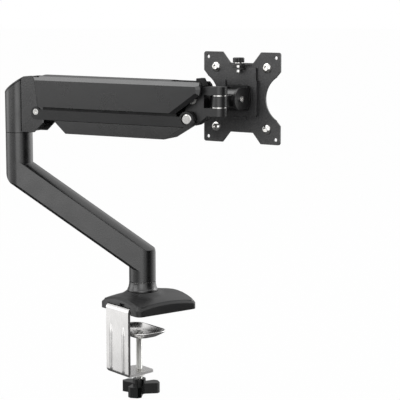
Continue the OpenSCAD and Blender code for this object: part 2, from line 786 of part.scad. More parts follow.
// Rounded strip end that lies over the cheek, round the lift pin
module tongue_side() {
    half = (strip_top - strip_low) / 2;
    circle(tongue_r);
    translate([0, strip_low + half]) circle(half);
    translate([0, strip_low]) square([cheek_sweep + 4, 2 * half]);
}
module arm_frame() {
    color(GRAPHITE) at_arm() difference() {
        union() {
            both_sides() slab(wall_in, wall_out) frame_side();
            both_sides() slab(wall_out - 0.1, strip_y) strip_side();
            both_sides() slab(tongue_in, strip_y) tongue_side();
            translate([floor_from, -wall_out, strip_low])
                cube([frame_front - floor_from - 3, 2 * wall_out, 3]);
        }
        across(0, 0, lift_pin_r + 2, -cheek_out, cheek_out);
        across(0, 0, lift_pin_r + run_gap, -strip_y - CUT, strip_y + CUT);
        across(arm_len, 0, front_pin_r, -strip_y - CUT, strip_y + CUT);
        both_sides() across(arm_len, 0, cap_r + 0.8, strip_y - cap_depth, strip_y + CUT);
        across(spring_pos[0], spring_pos[1], anchor_r, -strip_y, strip_y);
    }
}
module lift_bushes() {
    color(NYLON) at_arm() both_sides() difference() {
        across(0, 0, lift_pin_r + 2, wall_in, wall_out);
        across(0, 0, lift_pin_r + run_gap, wall_in - CUT, wall_out + CUT);
    }
}
// Section (y, z) of one side cover, shrunk inwards by t
module cover_section(t) {
    top = cover_top - t;
    crown = cover_top + roof_crown - t;
    polygon([[0, cover_low - 30 * t], [cover_y - t, cover_low - 30 * t],
             [cover_y - t, top - cover_bevel + t * 0.4], [cover_y - cover_bevel - t * 0.4, top],
             [0, crown]]);
}
module cover_side() {
    polygon([[-5, crest_z], [-5.6, 34], [1.2, cover_low], [chin_x, cover_low],
             [nose_x, nose_z], [brow_x, brow_z], [crest_x, crest_z]]);
}
// Cuts a shallow bevel along the side face's edge from (x0, z0) up to (x1, z1)
module face_bevel(x0, z0, x1, z1) {
    drop = atan(edge_depth / edge_band);
    len = norm([x1 - x0, z1 - z0]);
    translate([x1, cover_y, z1]) rotate([0, -atan2(z0 - z1, x0 - x1), 0])
        translate([-len / 2, 0, -edge_band]) rotate([-drop, 0, 0])
            cube([2 * len, cover_y, 4 * edge_band]);
}
module side_cover() {
    difference() {
        intersection() {
            translate([-2 * lug_r, 0, 0]) rotate([90, 0, 90])
                linear_extrude(arm_len + 6 * lug_r) cover_section(0);
            slab(0, 2 * cover_y) cover_side();
        }
        translate([-3 * lug_r, 0, 0]) rotate([90, 0, 90])
            linear_extrude(arm_len + 8 * lug_r) cover_section(shell_t);
        // seam half gap along the middle
        translate([-lug_r, -CUT, 0]) cube([2 * arm_len, roof_split + CUT, 2 * cover_top]);
        // rear slot that clears the elbow bracket as the arm rises
        translate([-3 * lug_r, -CUT, cover_low]) cube([3 * lug_r + 4, cheek_out + FIT + CUT, cover_top]);
        translate([0, cheek_in - FIT, cover_low]) cube([21, cheek_t + 2 * FIT, cover_top]);
        // front notch that clears the head bracket as the arm lowers
        translate([arm_len - 25, -CUT, cover_low]) cube([60, roof_notch + CUT, cover_top]);
        face_bevel(chin_x, cover_low, nose_x, nose_z);
        face_bevel(nose_x, nose_z, brow_x, brow_z);
        face_bevel(brow_x, brow_z, crest_x, crest_z);
    }
    for (x = boss_x) difference() {
        across(x, boss_z, cover_boss_r, channel_y, cover_y - shell_t + 0.2);
        across(x, boss_z, 1.25, channel_y - CUT, cover_y - 2.6);
    }
}
module near_side_cover() { color(GRAPHITE) at_arm() mirror([0, 1, 0]) side_cover(); }
module far_side_cover() { color(GRAPHITE) at_arm() side_cover(); }
module cover_screws() {
    color(STEEL) at_arm() both_sides() for (x = boss_x) {
        across(x, boss_z, 1.25, link_in - 0.2, channel_y + 5);
        across(x, boss_z, 2.6, link_in - 1.4, link_in);
    }
}
// Side outline of the tray, with its sloping ends moved inwards by t
module tray_side(t) {
    depth = tray_top + tray_low;
    rear = tray_sole - tray_rear;
    front = tray_front - tray_heel;
    rear_in = t * norm([rear, depth]) / depth;
    front_in = t * norm([front, depth]) / depth;
    lift = depth + 2 * t;                     // height of the inner outline's top
    polygon([[tray_sole - rear * lift / depth + rear_in, -tray_low + lift],
             [tray_sole - rear * t / depth + rear_in, -tray_low + t],
             [tray_heel + front * t / depth - front_in, -tray_low + t],
             [tray_heel + front * lift / depth - front_in, -tray_low + lift]]);
}
module arm_cable_cover() {
    grip = tray_wall / 2;
    color(GRAPHITE) at_arm() {
        difference() {
            slab(-strip_y, strip_y) tray_side(0);
            slab(-strip_y + tray_wall, strip_y - tray_wall) tray_side(tray_wall);
        }
        // clip ribs that reach up to the frame floor
        for (x = [tray_sole + rib_gap / 2, tray_heel - rib_gap])
            translate([x, -strip_y + grip, -tray_low + grip])
                cube([tray_wall, 2 * (strip_y - grip), tray_low - grip + strip_low]);
    }
}
module front_pin() {
    color(STEEL) at_arm()
        across(arm_len, 0, front_pin_r, -strip_y + cap_depth, strip_y - cap_depth);
}
module front_pin_caps() {
    color(NICKEL) at_arm() both_sides() {
        translate([arm_len, strip_y - cap_depth, 0]) rotate([-90, 0, 0]) rotate_extrude()
            polygon([[0, 0], [cap_r, 0], [cap_r, cap_depth - 0.8], [cap_r - 1, cap_depth - 0.1],
                [0, cap_depth - 0.1]]);
    }
}
module spring_front_pin() {
    color(STEEL) at_arm() across(spring_pos[0], spring_pos[1], anchor_r, -wall_out, wall_out);
}
// Upper member of the parallelogram: an inverted channel with an eye at each end
module link_side() {
    translate([link_dx, link_dz]) circle(link_r);
    translate([link_dx + arm_len, link_dz]) circle(link_r);
    polygon([[link_dx, link_dz - link_r], [link_dx + 14, channel_low],
             [link_dx + arm_len - 14, channel_low], [link_dx + arm_len, link_dz - link_r],
             [link_dx + arm_len, link_dz + link_r], [arm_len - 8, channel_top],
             [14, channel_top], [link_dx, link_dz + link_r]]);
}
module link_channel() {
    color(STEEL) at_arm() difference() {
        union() {
            both_sides() slab(link_in, channel_y) link_side();
            translate([24, -channel_y, channel_top - link_t])
                cube([arm_len - 24 - 24, 2 * channel_y, link_t]);
        }
        across(link_dx, link_dz, link_pin_r + run_gap, -channel_y - CUT, channel_y + CUT);
        across(link_dx + arm_len, link_dz, link_pin_r + open_gap, -channel_y - CUT,
               channel_y + CUT);
        both_sides() for (x = boss_x) across(x, boss_z, 1.25, link_in - CUT, channel_y + CUT);
    }
}
module gas_spring_tube() {
    eye = anchor_r + 3;
    color(BLACK) at_spring() difference() {
        union() {
            translate([tube_from, 0, 0]) rotate([0, 90, 0])
                cylinder(r = tube_r, h = tube_to - tube_from);
            translate([tube_to - CUT, -4, -4]) cube([10 + CUT, 8, 8]);
            across(spring_len, 0, eye, -4, 4);
        }
        translate([tube_from - CUT, 0, 0]) rotate([0, 90, 0])
            cylinder(r = rod_r + run_gap, h = 4 + CUT);
        translate([tube_from + 3, 0, 0]) rotate([0, 90, 0])
            cylinder(r = tube_r - 1.6, h = tube_to - tube_from - 8);
        across(spring_len, 0, anchor_r + run_gap, -4 - CUT, 4 + CUT);
    }
}
module gas_spring_rod() {
    eye = anchor_r + eye_gap;
    piston = tube_from + 24;
    color(NICKEL) at_spring() difference() {
        union() {
            across(0, 0, eye + 3, -5, 5);
            translate([eye + 1, 0, 0]) rotate([0, 90, 0])
                cylinder(r = rod_r, h = piston - eye - 1);
            translate([piston, 0, 0]) rotate([0, 90, 0]) cylinder(r = tube_r - 1.7, h = 5);
        }
        across(0, 0, eye, -5 - CUT, 5 + CUT);
    }
}

// ==== front bracket ====
module bracket_hub() {
    circle(9);
    translate([link_dx, link_dz]) circle(link_r - 0.5);
    polygon([[-9, 0], [9, 0], [link_dx + link_r - 0.5, link_dz], [link_dx - link_r + 0.5, link_dz]]);
    translate([0, -5]) square([12, 5 + link_dz]);
}
module upright_side() {
    polygon([[10, -4.5], [16, -2], [20, 1], [fork_reach - knuckle_r - 1.2, lug_low],
             [fork_reach, lug_low], [fork_reach, head_rise - fork_half],
             [throat_x, head_rise - fork_half], [throat_x, head_rise + fork_half],
             [fork_reach, head_rise + fork_half], [fork_reach, lug_top], [12, lug_top],
             [10, 25]]);
}
module front_bracket() {
    color(GRAPHITE) at_front() difference() {
        union() {
            slab(-block_y, block_y) bracket_hub();
            slab(-fork_y, fork_y) upright_side();
            for (z = [lug_low, head_rise + fork_half])
                translate([fork_reach, 0, z]) cylinder(r = fork_y, h = lug_t);
        }
        across(0, 0, front_pin_r + run_gap, -block_y - CUT, block_y + CUT);
        both_sides() rotate([0, droop, 0])
            across(link_dx, link_dz, link_pin_r, block_y - 4, fork_y + CUT);
        translate([fork_reach, 0, 0]) cylinder(r = knuckle_pin_r, h = 2 * head_rise);
    }
}
module bracket_cap() {
    color(BLACK) at_front() translate([0, 0, lug_top]) slab(-block_y, block_y)
        polygon([[8, 0], [17.5, 0], [17.5, 1.5], [13.5, 10], [8, 10]]);
}
module link_front_pins() {
    color(STEEL) at_front() rotate([0, droop, 0]) both_sides() {
        across(link_dx, link_dz, link_pin_r, block_y - 4, link_in + link_t + 0.9);
        across(link_dx, link_dz, link_pin_r + 1.5, link_in + link_t + 0.1, link_in + link_t + 0.9);
    }
}
module knuckle_pin() {
    color(STEEL) at_front() translate([fork_reach, 0, lug_low + 1])
        cylinder(r = knuckle_pin_r, h = 2 * (fork_half + lug_t) - 1);
}
module knuckle_washers() {
    color(NICKEL) at_head() for (z = [-fork_half, knuckle_h / 2])
        translate([0, 0, z]) ring(knuckle_r - 0.4, knuckle_pin_r + run_gap, disc_t);
}

// ==== head ====
module head_neck() {
    color(GRAPHITE) at_head() difference() {
        union() {
            translate([0, 0, -knuckle_h / 2]) cylinder(r = knuckle_r, h = knuckle_h);
            translate([0, -9, -knuckle_h / 2]) cube([neck_len, 18, knuckle_h]);
            across(neck_len, tilt_rise, hub_r, -hub_w / 2, hub_w / 2);
        }
        translate([0, 0, -knuckle_h]) cylinder(r = knuckle_pin_r + run_gap, h = 2 * knuckle_h);
        across(neck_len, tilt_rise, tilt_r + run_gap, -hub_w, hub_w);
    }
}
module tilt_washers() {
    color(NICKEL) at_tilt() both_sides() difference() {
        across(0, 0, hub_r - 1.4, hub_w / 2, ear_in);
        across(0, 0, tilt_r + run_gap, hub_w / 2 - CUT, ear_in + CUT);
    }
}
module tilt_bracket() {
    color(GRAPHITE) at_tilt() difference() {
        union() {
            both_sides() slab(ear_in, ear_out) {
                circle(ear_r);
                translate([0, -ear_r]) square([tilt_base_x + base_sq_t, 2 * ear_r]);
            }
            translate([tilt_base_x, 0, 0]) rotate([90, 0, 90])
                linear_extrude(base_sq_t) rounded_rect(2 * ear_out, base_tall, 3);
        }
        across(0, 0, tilt_r, -ear_out - CUT, ear_out + CUT);
        translate([tilt_base_x - CUT, 0, 0]) rotate([0, 90, 0])
            cylinder(r = rivet_r, h = base_sq_t + 2 * CUT);
    }
}
module tilt_bolt() {
    head = 3.6;
    head_t = 1.8;
    color(NICKEL) at_tilt() difference() {
        union() {
            across(0, 0, tilt_r, -ear_out, ear_out + nut_t + 0.3);
            across(0, 0, head, -ear_out - head_t, -ear_out);
        }
        translate([0, -ear_out - head_t - CUT, 0]) rotate([-90, 0, 0]) hex_socket(1.9, 1.4 + CUT);
    }
}
module tilt_nut() {
    color(NICKEL) at_tilt() translate([0, ear_out, 0]) rotate([-90, 0, 0]) difference() {
        cylinder(r = 5, h = nut_t, $fn = 6);
        translate([0, 0, -CUT]) cylinder(r = tilt_r, h = nut_t + 2 * CUT);
    }
}
module rotation_washer() {
    color(BLACK) at_tilt() translate([rotor_x, 0, 0]) rotate([0, 90, 0])
        ring(rotor_r, rivet_r + run_gap, rotor_t);
}
module rotation_rivet() {
    color(STEEL) at_tilt() translate([tilt_base_x, 0, 0]) rotate([0, 90, 0]) {
        translate([0, 0, -1.4]) cylinder(r = rivet_r + 3, h = 1.4);
        cylinder(r = rivet_r, h = plate_x - tilt_base_x + 2 * run_gap);
        translate([0, 0, plate_x - tilt_base_x + 2 * run_gap])
            cylinder(r = rivet_r + 2.5, h = 1.5);
    }
}
// Plan outlines of the plates are drawn as (y, z)
module quick_release_plate() {
    z_top = hook_z + tab_t;
    color(GRAPHITE) at_tilt() difference() {
        union() {
            translate([carrier_x, -carrier_w / 2, carrier_low])
                cube([carrier_t, carrier_w, z_top - carrier_low]);
            translate([0, 0, hook_z]) linear_extrude(tab_t) {
                translate([release_x, 0]) circle(7);
                translate([release_x, -7]) square([carrier_x - release_x + CUT, 14]);
            }
        }
        translate([carrier_x - CUT, 0, 0]) rotate([0, 90, 0])
            cylinder(r = rivet_r + run_gap, h = carrier_t + 2 * CUT);
        translate([release_x, 0, hook_z - CUT]) cylinder(r = release_r + SLIP, h = tab_t + 2 * CUT);
    }
}
module vesa_outline() {
    p = plate_half;
    arc_r = 30;
    arc_y = 35.2 + arc_r;
    difference() {
        union() {
            for (sy = [-1, 1], sz = [-1, 1]) scale([sy, sz])
                polygon([[0, 0], [p - 5.6, 0], [p - 5.6, 27], [p, 33], [p, p - 3],
                         [p - 3, p], [28.5, p], [17, 43], [0, 43]]);
            for (sy = [-1, 1], sz = [-1, 1])
                translate([sy * (p - 3), sz * (p - 3)]) circle(3);
        }
        for (sy = [-1, 1]) translate([sy * arc_y, 0]) circle(arc_r);
        for (sy = [-1, 1], sz = [-1, 1]) {
            translate([sy * vesa_wide / 2, sz * vesa_wide / 2]) circle(vesa_hole_r);
            translate([sy * vesa_narrow / 2, sz * vesa_narrow / 2]) circle(vesa_hole_r);
        }
        circle(rivet_r + 4);
    }
}
module vesa_plate() {
    rail_in = carrier_w / 2 + SLIP;
    color(GRAPHITE) at_tilt() difference() {
        union() {
            translate([plate_x, 0, 0]) rotate([90, 0, 90]) linear_extrude(vesa_t) vesa_outline();
            translate([0, 0, tab_z]) linear_extrude(tab_t) {
                translate([release_x, 0]) circle(9);
                polygon([[release_x, -9], [plate_x + 0.5, -16.5], [plate_x + 0.5, 16.5],
                         [release_x, 9]]);
            }
            both_sides() {
                translate([carrier_x - 2, rail_in, -21]) cube([carrier_t + 2 + 0.1, 2.2, 43]);
                translate([carrier_x - 2, rail_in - 2.6, -21]) cube([1.8, 4.8, 43]);
            }
            translate([carrier_x + SLIP, -9, carrier_low - SLIP - 3])
                cube([carrier_t - SLIP + 0.1, 18, 3]);
        }
        translate([release_x, 0, tab_z - CUT]) cylinder(r = release_r + run_gap, h = tab_t + 2 * CUT);
    }
}
module vesa_screws() {
    color(NICKEL) at_tilt() for (sy = [-1, 1], sz = [-1, 1])
        translate([plate_x, sy * vesa_narrow / 2, sz * vesa_narrow / 2]) rotate([0, 90, 0]) {
            translate([0, 0, -head_h]) intersection() {
                cylinder(r = head_r, h = head_h);
                translate([0, 0, 9]) sphere(9.2);
            }
            cylinder(r = vesa_hole_r - SLIP / 2, h = vesa_t);
            cylinder(r = stud_r, h = vesa_t + stud_len);
        }
}
module release_washer() {
    color(STEEL) at_tilt() translate([release_x, 0, tab_z + tab_t])
        ring(5, release_r + run_gap, 0.8);
}
module release_screw() {
    seat = tab_z + tab_t + 0.8;
    color(BLACK) at_tilt() translate([release_x, 0, 0]) {
        translate([0, 0, seat]) cylinder(r = knob_r, h = knob_h);
        translate([0, 0, hook_z - 4]) cylinder(r = release_r, h = seat - hook_z + 4);
    }
}

base_cover();
base_plate();
base_pad();
base_post();
post_bolts();
swivel_collar();
clamp_bracket();
bracket_bolts();
clamp_nut();
pressure_plate();
pressure_rivet();
clamp_spindle();
clamp_handle();
lower_arm_casting();
base_bushes();
elbow_bushes();
elbow_washer();
tension_screws();
lower_cable_cover();
elbow_bracket();
elbow_shaft();
elbow_cap();
lift_pin();
link_rear_pins();
spring_anchor_pin();
arm_frame();
lift_bushes();
near_side_cover();
far_side_cover();
cover_screws();
arm_cable_cover();
front_pin();
front_pin_caps();
spring_front_pin();
link_channel();
gas_spring_tube();
gas_spring_rod();
front_bracket();
bracket_cap();
link_front_pins();
knuckle_pin();
knuckle_washers();
head_neck();
tilt_washers();
tilt_bracket();
tilt_bolt();
tilt_nut();
rotation_washer();
rotation_rivet();
quick_release_plate();
vesa_plate();
vesa_screws();
release_washer();
release_screw();
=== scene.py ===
"""Looks of a clamp-on monitor arm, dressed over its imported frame.

Each sub-assembly is a class that holds its sizes in millimetres, models its
pieces at a station (a local frame of the arm) and hands them to the body that
carries them. Finishes are frozen dataclasses that build their own node trees.
"""

import json
import logging
import math
from collections.abc import Iterator, Sequence
from contextlib import contextmanager
from dataclasses import dataclass, field, replace
from enum import Enum

import bpy
from mathutils import Matrix, Vector

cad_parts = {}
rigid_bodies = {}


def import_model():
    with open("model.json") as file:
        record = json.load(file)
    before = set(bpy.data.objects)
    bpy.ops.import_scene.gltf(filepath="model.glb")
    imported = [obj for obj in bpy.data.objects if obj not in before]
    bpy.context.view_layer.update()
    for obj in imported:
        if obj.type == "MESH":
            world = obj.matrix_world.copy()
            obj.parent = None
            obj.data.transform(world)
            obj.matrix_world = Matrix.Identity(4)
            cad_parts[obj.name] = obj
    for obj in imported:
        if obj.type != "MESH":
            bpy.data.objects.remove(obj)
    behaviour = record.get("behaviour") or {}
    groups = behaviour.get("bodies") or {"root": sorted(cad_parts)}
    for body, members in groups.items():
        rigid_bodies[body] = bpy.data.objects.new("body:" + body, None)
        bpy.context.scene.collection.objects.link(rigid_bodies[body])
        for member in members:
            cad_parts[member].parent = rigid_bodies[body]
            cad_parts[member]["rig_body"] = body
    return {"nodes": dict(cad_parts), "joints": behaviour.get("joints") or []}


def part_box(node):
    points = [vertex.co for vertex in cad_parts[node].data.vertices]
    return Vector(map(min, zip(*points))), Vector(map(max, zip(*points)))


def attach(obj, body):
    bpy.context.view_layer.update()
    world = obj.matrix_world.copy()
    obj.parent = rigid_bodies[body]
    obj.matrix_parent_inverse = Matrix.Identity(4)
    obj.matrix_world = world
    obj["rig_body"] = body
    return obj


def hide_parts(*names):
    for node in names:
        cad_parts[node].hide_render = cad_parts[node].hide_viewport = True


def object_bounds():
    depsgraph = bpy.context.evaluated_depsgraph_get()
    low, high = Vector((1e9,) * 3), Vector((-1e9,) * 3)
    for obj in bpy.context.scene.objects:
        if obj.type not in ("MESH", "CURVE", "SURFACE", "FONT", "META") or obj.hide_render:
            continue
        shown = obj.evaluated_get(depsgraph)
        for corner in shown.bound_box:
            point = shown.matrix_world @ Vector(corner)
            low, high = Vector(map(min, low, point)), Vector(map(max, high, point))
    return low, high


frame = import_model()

log = logging.getLogger("monitor_arm")

MM = 0.001
CAD_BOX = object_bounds()
WHITE = (1, 1, 1, 1)

Piece = bpy.types.Object
Socket = bpy.types.NodeSocket
Flat = tuple[float, float]
Point = tuple[float, float, float]
Colour = tuple[float, float, float]
Ring = list[Point]
Feed = dict[str | int, object]

EVEN: Point = (1, 1, 1)


# Stations


@dataclass(frozen=True)
class Station:
    """A local frame of the arm, in which a sub-assembly is modelled in millimetres."""

    origin: Vector
    forward: Vector
    side: Vector

    def matrix(self) -> Matrix:
        """Return the matrix from station millimetres to the row frame in metres."""
        up = self.forward.cross(self.side)
        basis = Matrix((self.forward, self.side, up)).transposed().to_4x4()
        return Matrix.Translation(self.origin) @ basis @ Matrix.Scale(MM, 4)


def joint(name: str) -> dict:
    """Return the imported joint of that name."""
    return next(j for j in frame["joints"] if j["name"] == name)


def joint_point(name: str) -> Vector:
    """Return the point that a hinge turns about, in metres."""
    return Vector(joint(name)["pos_m"])


def level(direction: Vector) -> Vector:
    """Return the direction laid flat, at unit length."""
    return Vector((direction.x, direction.y, 0.0)).normalized()


def facing(origin: Vector, along: Vector) -> Station:
    """Return the level station at a point with x along a level direction."""
    return Station(origin, along, Vector((-along.y, along.x, 0)))


def desk_station(x: float = 0, y: float = 0) -> Station:
    """Return the station on the desk under a point, or under the base swivel axis."""
    return facing(Vector((x, y, 0)), Vector((1, 0, 0)))


def lower_station() -> Station:
    """Return the station of the lower arm: x runs from the base axis to the elbow."""
    return facing(Vector((0, 0, 0)), level(joint_point("elbow_swivel")))


def pivot_station() -> Station:
    """Return the level station at the lift pivot."""
    lift = joint_point("lift")
    return facing(lift, level(joint_point("head_level") - lift))


def arm_station() -> Station:
    """Return the station at the lift pivot with x along the upper arm."""
    lift = joint_point("lift")
    along = (joint_point("head_level") - lift).normalized()
    return replace(facing(lift, level(along)), forward=along)


def front_station() -> Station:
    """Return the level station at the front pivot of the upper arm."""
    return replace(pivot_station(), origin=joint_point("head_level"))


def tilt_station() -> Station:
    """Return the station on the tilt axis with x towards the screen."""
    return facing(joint_point("head_tilt"), Vector(joint("plate_rotation")["axis"]))


# Finishes


class Slot(Enum):
    """Material slots of the record."""

    SATIN = "satin_black"
    COVER = "cover_black"
    GLOSS = "gloss_black"
    POWDER = "powder_black"
    ZINC = "zinc_steel"
    NICKEL = "nickel"
    DARK = "dark_steel"
    NYLON = "white_nylon"
    RUBBER = "desk_rubber"


class Tree:
    """A node tree with short ways to add nodes and to join them."""

    def __init__(self, tree: bpy.types.NodeTree) -> None:
        """Work on that node tree."""
        self.tree = tree

    def feed(self, node: bpy.types.Node, inputs: Feed) -> None:
        """Fill the inputs of a node.

        Args:
            node: The node.
            inputs: A number, colour or vector, or an output to join, for each input.
        """
        for key, value in inputs.items():
            if isinstance(value, Socket):
                self.tree.links.new(value, node.inputs[key])
            else:
                node.inputs[key].default_value = value

    def add(self, kind: str, inputs: Feed, **settings: object) -> bpy.types.bpy_prop_collection:
        """Add a node.

        Args:
            kind: Type name of the node without its usual beginning.
            inputs: What its inputs take.
            **settings: Its properties.

        Returns:
            The outputs of the node.
        """
        node = self.tree.nodes.new("ShaderNode" + kind)
        for key, value in settings.items():
            setattr(node, key, value)
        self.feed(node, inputs)
        return node.outputs

    def ramp(self, value: Socket, start: Flat, end: Flat, soft: bool = False) -> Socket:
        """Bring a value from one range to another.

        Args:
            value: The value.
            start: Value and result at the start of the ranges.
            end: Value and result at their end.
            soft: True eases in and out of the range.

        Returns:
            The result.
        """
        ranges = {"From Min": start[0], "To Min": start[1], "From Max": end[0], "To Max": end[1]}
        return self.add("MapRange", {"Value": value, **ranges},
                        interpolation_type="SMOOTHSTEP" if soft else "LINEAR")["Result"]

    def times(self, value: Socket, factor: Socket | float) -> Socket:
        """Return a value times a factor."""
        return self.add("Math", {0: value, 1: factor}, operation="MULTIPLY")[0]

    def by_ray(self, usual: Socket, mirrored: Socket, seen: Socket, share: float = 1) -> Socket:
        """Choose among shaders by the kind of ray that meets them.

        Args:
            usual: Shader that lights the scene.
            mirrored: Shader that glossy faces mirror.
            seen: Shader that the camera sees.
            share: How much of that the camera sees, the rest being the usual one.

        Returns:
            The shader for all rays.
        """
        rays = self.add("LightPath", {})
        rest = self.add("MixShader", {0: rays["Is Glossy Ray"], 1: usual, 2: mirrored})[0]
        direct = self.times(rays["Is Camera Ray"], share)
        return self.add("MixShader", {0: direct, 1: rest, 2: seen})[0]


class Graph(Tree):
    """The node tree of one material, which reads Object coordinates."""

    def __init__(self, name: str) -> None:
        """Start a material of that name with its Principled shader.

        Args:
            name: Name of the material.
        """
        self.material = bpy.data.materials.new(name)
        self.material.use_nodes = True
        super().__init__(self.material.node_tree)
        self.shader = self.tree.nodes["Principled BSDF"]
        self.place = self.add("TexCoord", {})["Object"]

    def noise(self, scale: float, detail: float, stretch: Point = EVEN) -> Socket:
        """Add noise over the piece.

        Args:
            scale: Features per metre.
            detail: Octaves of finer noise.
            stretch: Scale along each axis, below 1 to draw the noise out.

        Returns:
            The noise value, about 0.5 in the middle.
        """
        place = self.add("Mapping", {"Scale": stretch, "Vector": self.place})["Vector"]
        return self.add("TexNoise", {"Scale": scale, "Detail": detail, "Vector": place})["Fac"]

    def span(self, value: Socket, low: float, high: float) -> Socket:
        """Return the middle of a noise value spread from low to high."""
        return self.ramp(value, (0.3, low), (0.7, high))

    def blend(self, value: Socket, first: Colour, second: Colour) -> None:
        """Colour the shader between two colours by a noise value.

        Args:
            value: Noise value.
            first: Colour at the low end.
            second: Colour at the high end.
        """
        inputs = {0: self.span(value, 0, 1), 6: (*first, 1), 7: (*second, 1)}
        self.feed(self.shader, {"Base Color": self.add("Mix", inputs, data_type="RGBA")[2]})

    def relief(self, heights: Sequence[tuple[Socket, float]]) -> None:
        """Bump the surface by several heights.

        Args:
            heights: Pairs of a noise value and its depth in millimetres.
        """
        below: Feed = {}
        for value, depth in heights:
            bump = self.add("Bump", {"Distance": depth * MM, "Height": value, **below})
            below = {"Normal": bump["Normal"]}
        self.feed(self.shader, below)


def shade(colour: Colour, factor: float) -> Colour:
    """Return a colour made lighter or darker."""
    return tuple(min(1.0, part * factor) for part in colour)


@dataclass(frozen=True)
class Finish:
    """A surface finish.

    Attributes:
        name: Name of its material.
        slot: Its slot in the record; not used by the script.
        colour: Its middle colour.
        roughness: Its middle roughness.
        specular: Strength of its sheen.
        metallic: 1 on bare or plated metal.
        clouds: Scale and detail of the noise in the colour.
        tones: Factors of the darkest and the lightest spots.
        patches: Scale and detail of the noise in the gloss.
        gloss: Changes of the roughness at both ends of that noise.
        grains: Scale, detail and depth in millimetres of each relief.
        stretch: Scale along each axis of the patches and of the first relief.
    """

    name: str
    slot: Slot
    colour: Colour
    roughness: float
    specular: float = 0.5
    metallic: float = 0
    clouds: Flat = (18, 3)
    tones: Flat = (0.86, 1.14)
    patches: Flat = (45, 4)
    gloss: Flat = (-0.05, 0.06)
    grains: tuple[Point, ...] = ((650, 2, 0.05), (2600, 2, 0.02))
    stretch: Point = EVEN

    def build(self) -> bpy.types.Material:
        """Return the finish as a material, made once."""
        if self.name not in bpy.data.materials:
            self.paint(Graph(self.name))
        return bpy.data.materials[self.name]

    def paint(self, graph: Graph) -> None:
        """Give the shader its colour, gloss and relief.

        Args:
            graph: Node tree of the material.
        """
        graph.blend(graph.noise(*self.clouds), *(shade(self.colour, tone) for tone in self.tones))
        changes = [self.roughness + change for change in self.gloss]
        roughness = graph.span(graph.noise(*self.patches, self.stretch), *changes)
        graph.feed(graph.shader, {"Roughness": roughness, "Metallic": self.metallic,
                                  "Specular IOR Level": self.specular})
        graph.relief([(graph.noise(scale, detail, EVEN if number else self.stretch), depth)
                      for number, (scale, detail, depth) in enumerate(self.grains)])


@dataclass(frozen=True)
class SprayPaint(Finish):
    """Sprayed paint on die-cast metal: a faint orange peel under a satin sheen."""


@dataclass(frozen=True)
class PowderCoat(Finish):
    """Powder coat with a baked-in fine texture."""

    clouds: Flat = (620, 3)
    tones: Flat = (0.45, 1.8)
    patches: Flat = (60, 3)
    gloss: Flat = (-0.06, 0.06)
    grains: tuple[Point, ...] = ((420, 2, 0.16), (900, 3, 0.112))


@dataclass(frozen=True)
class MouldedPlastic(Finish):
    """Injection-moulded plastic with a fine etched grain over shallow sink marks."""

    clouds: Flat = (12, 2)
    tones: Flat = (0.92, 1.08)
    patches: Flat = (30, 4)
    gloss: Flat = (-0.04, 0.05)
    grains: tuple[Point, ...] = ((1900, 3, 0.03), (140, 1, 0.02))


@dataclass(frozen=True)
class Plating(Finish):
    """Plated or bare steel with drawn streaks over a slight waviness."""

    metallic: float = 1
    clouds: Flat = (35, 3)
    tones: Flat = (0.93, 1.05)
    patches: Flat = (900, 3)
    gloss: Flat = (-0.06, 0.08)
    grains: tuple[Point, ...] = ((900, 3, 0.002), (60, 1, 0.008))
    stretch: Point = (1, 1, 0.05)


@dataclass(frozen=True)
class Elastomer(Finish):
    """Rubber or nylon: matt, with a dusty grain."""

    clouds: Flat = (80, 4)
    tones: Flat = (0.85, 1.15)
    patches: Flat = (200, 3)
    gloss: Flat = (-0.08, 0.08)
    grains: tuple[Point, ...] = ((1200, 3, 0.06),)


CAST_PAINT = SprayPaint("cast_paint", Slot.SATIN, (0.0065, 0.0065, 0.007), 0.26, specular=1.0)
BRACKET_PAINT = SprayPaint("bracket_paint", Slot.SATIN, (0.009, 0.009, 0.0095), 0.34,
                           specular=0.8)
COVER_PLASTIC = MouldedPlastic("cover_plastic", Slot.COVER, (0.01, 0.01, 0.0105), 0.28,
                               specular=0.8)
STRIP_PAINT = SprayPaint("strip_paint", Slot.SATIN, (0.008, 0.008, 0.0085), 0.36,
                         specular=0.55)
BASE_PLASTIC = MouldedPlastic("base_plastic", Slot.GLOSS, (0.024, 0.024, 0.0245), 0.36,
                              specular=0.5)
HANDLE_PLASTIC = MouldedPlastic("handle_plastic", Slot.GLOSS, (0.004, 0.004, 0.004), 0.18)
CAP_RUBBER = Elastomer("cap_rubber", Slot.GLOSS, (0.003, 0.003, 0.003), 0.7)
PLATE_POWDER = PowderCoat("plate_powder", Slot.POWDER, (0.03, 0.03, 0.031), 0.45,
                          specular=0.8)
EAR_PAINT = PowderCoat("ear_paint", Slot.POWDER, (0.016, 0.016, 0.0165), 0.4,
                       grains=((420, 2, 0.08), (900, 3, 0.056)))
BRIGHT_NICKEL = Plating("bright_nickel", Slot.NICKEL, (0.86, 0.85, 0.83), 0.16)
CLAMP_NICKEL = Plating("clamp_nickel", Slot.NICKEL, (0.87, 0.86, 0.85), 0.26)
ZINC_STEEL = Plating("zinc_steel", Slot.ZINC, (0.62, 0.62, 0.6), 0.3)
DARK_STEEL = Plating("dark_steel", Slot.DARK, (0.1, 0.1, 0.105), 0.38)
WHITE_NYLON = Elastomer("white_nylon", Slot.NYLON, (0.82, 0.81, 0.76), 0.5,
                        grains=((1200, 3, 0.02),))
DESK_RUBBER = Elastomer("desk_rubber", Slot.RUBBER, (0.02, 0.02, 0.02), 0.75)


# Bench: gaps are in millimetres

SAME_POINT = 0.004
SAME_CAD_POINT = 0.01
SAME_PLANE = math.radians(0.6)
FINE_SIDES = 96


def deselect_all() -> None:
    """Deselect every object, the frame's nodes included."""
    bpy.ops.object.select_all(action="DESELECT")


def make_active(piece: Piece) -> None:
    """Select that piece alone and make it active."""
    deselect_all()
    piece.select_set(True)
    bpy.context.view_layer.objects.active = piece


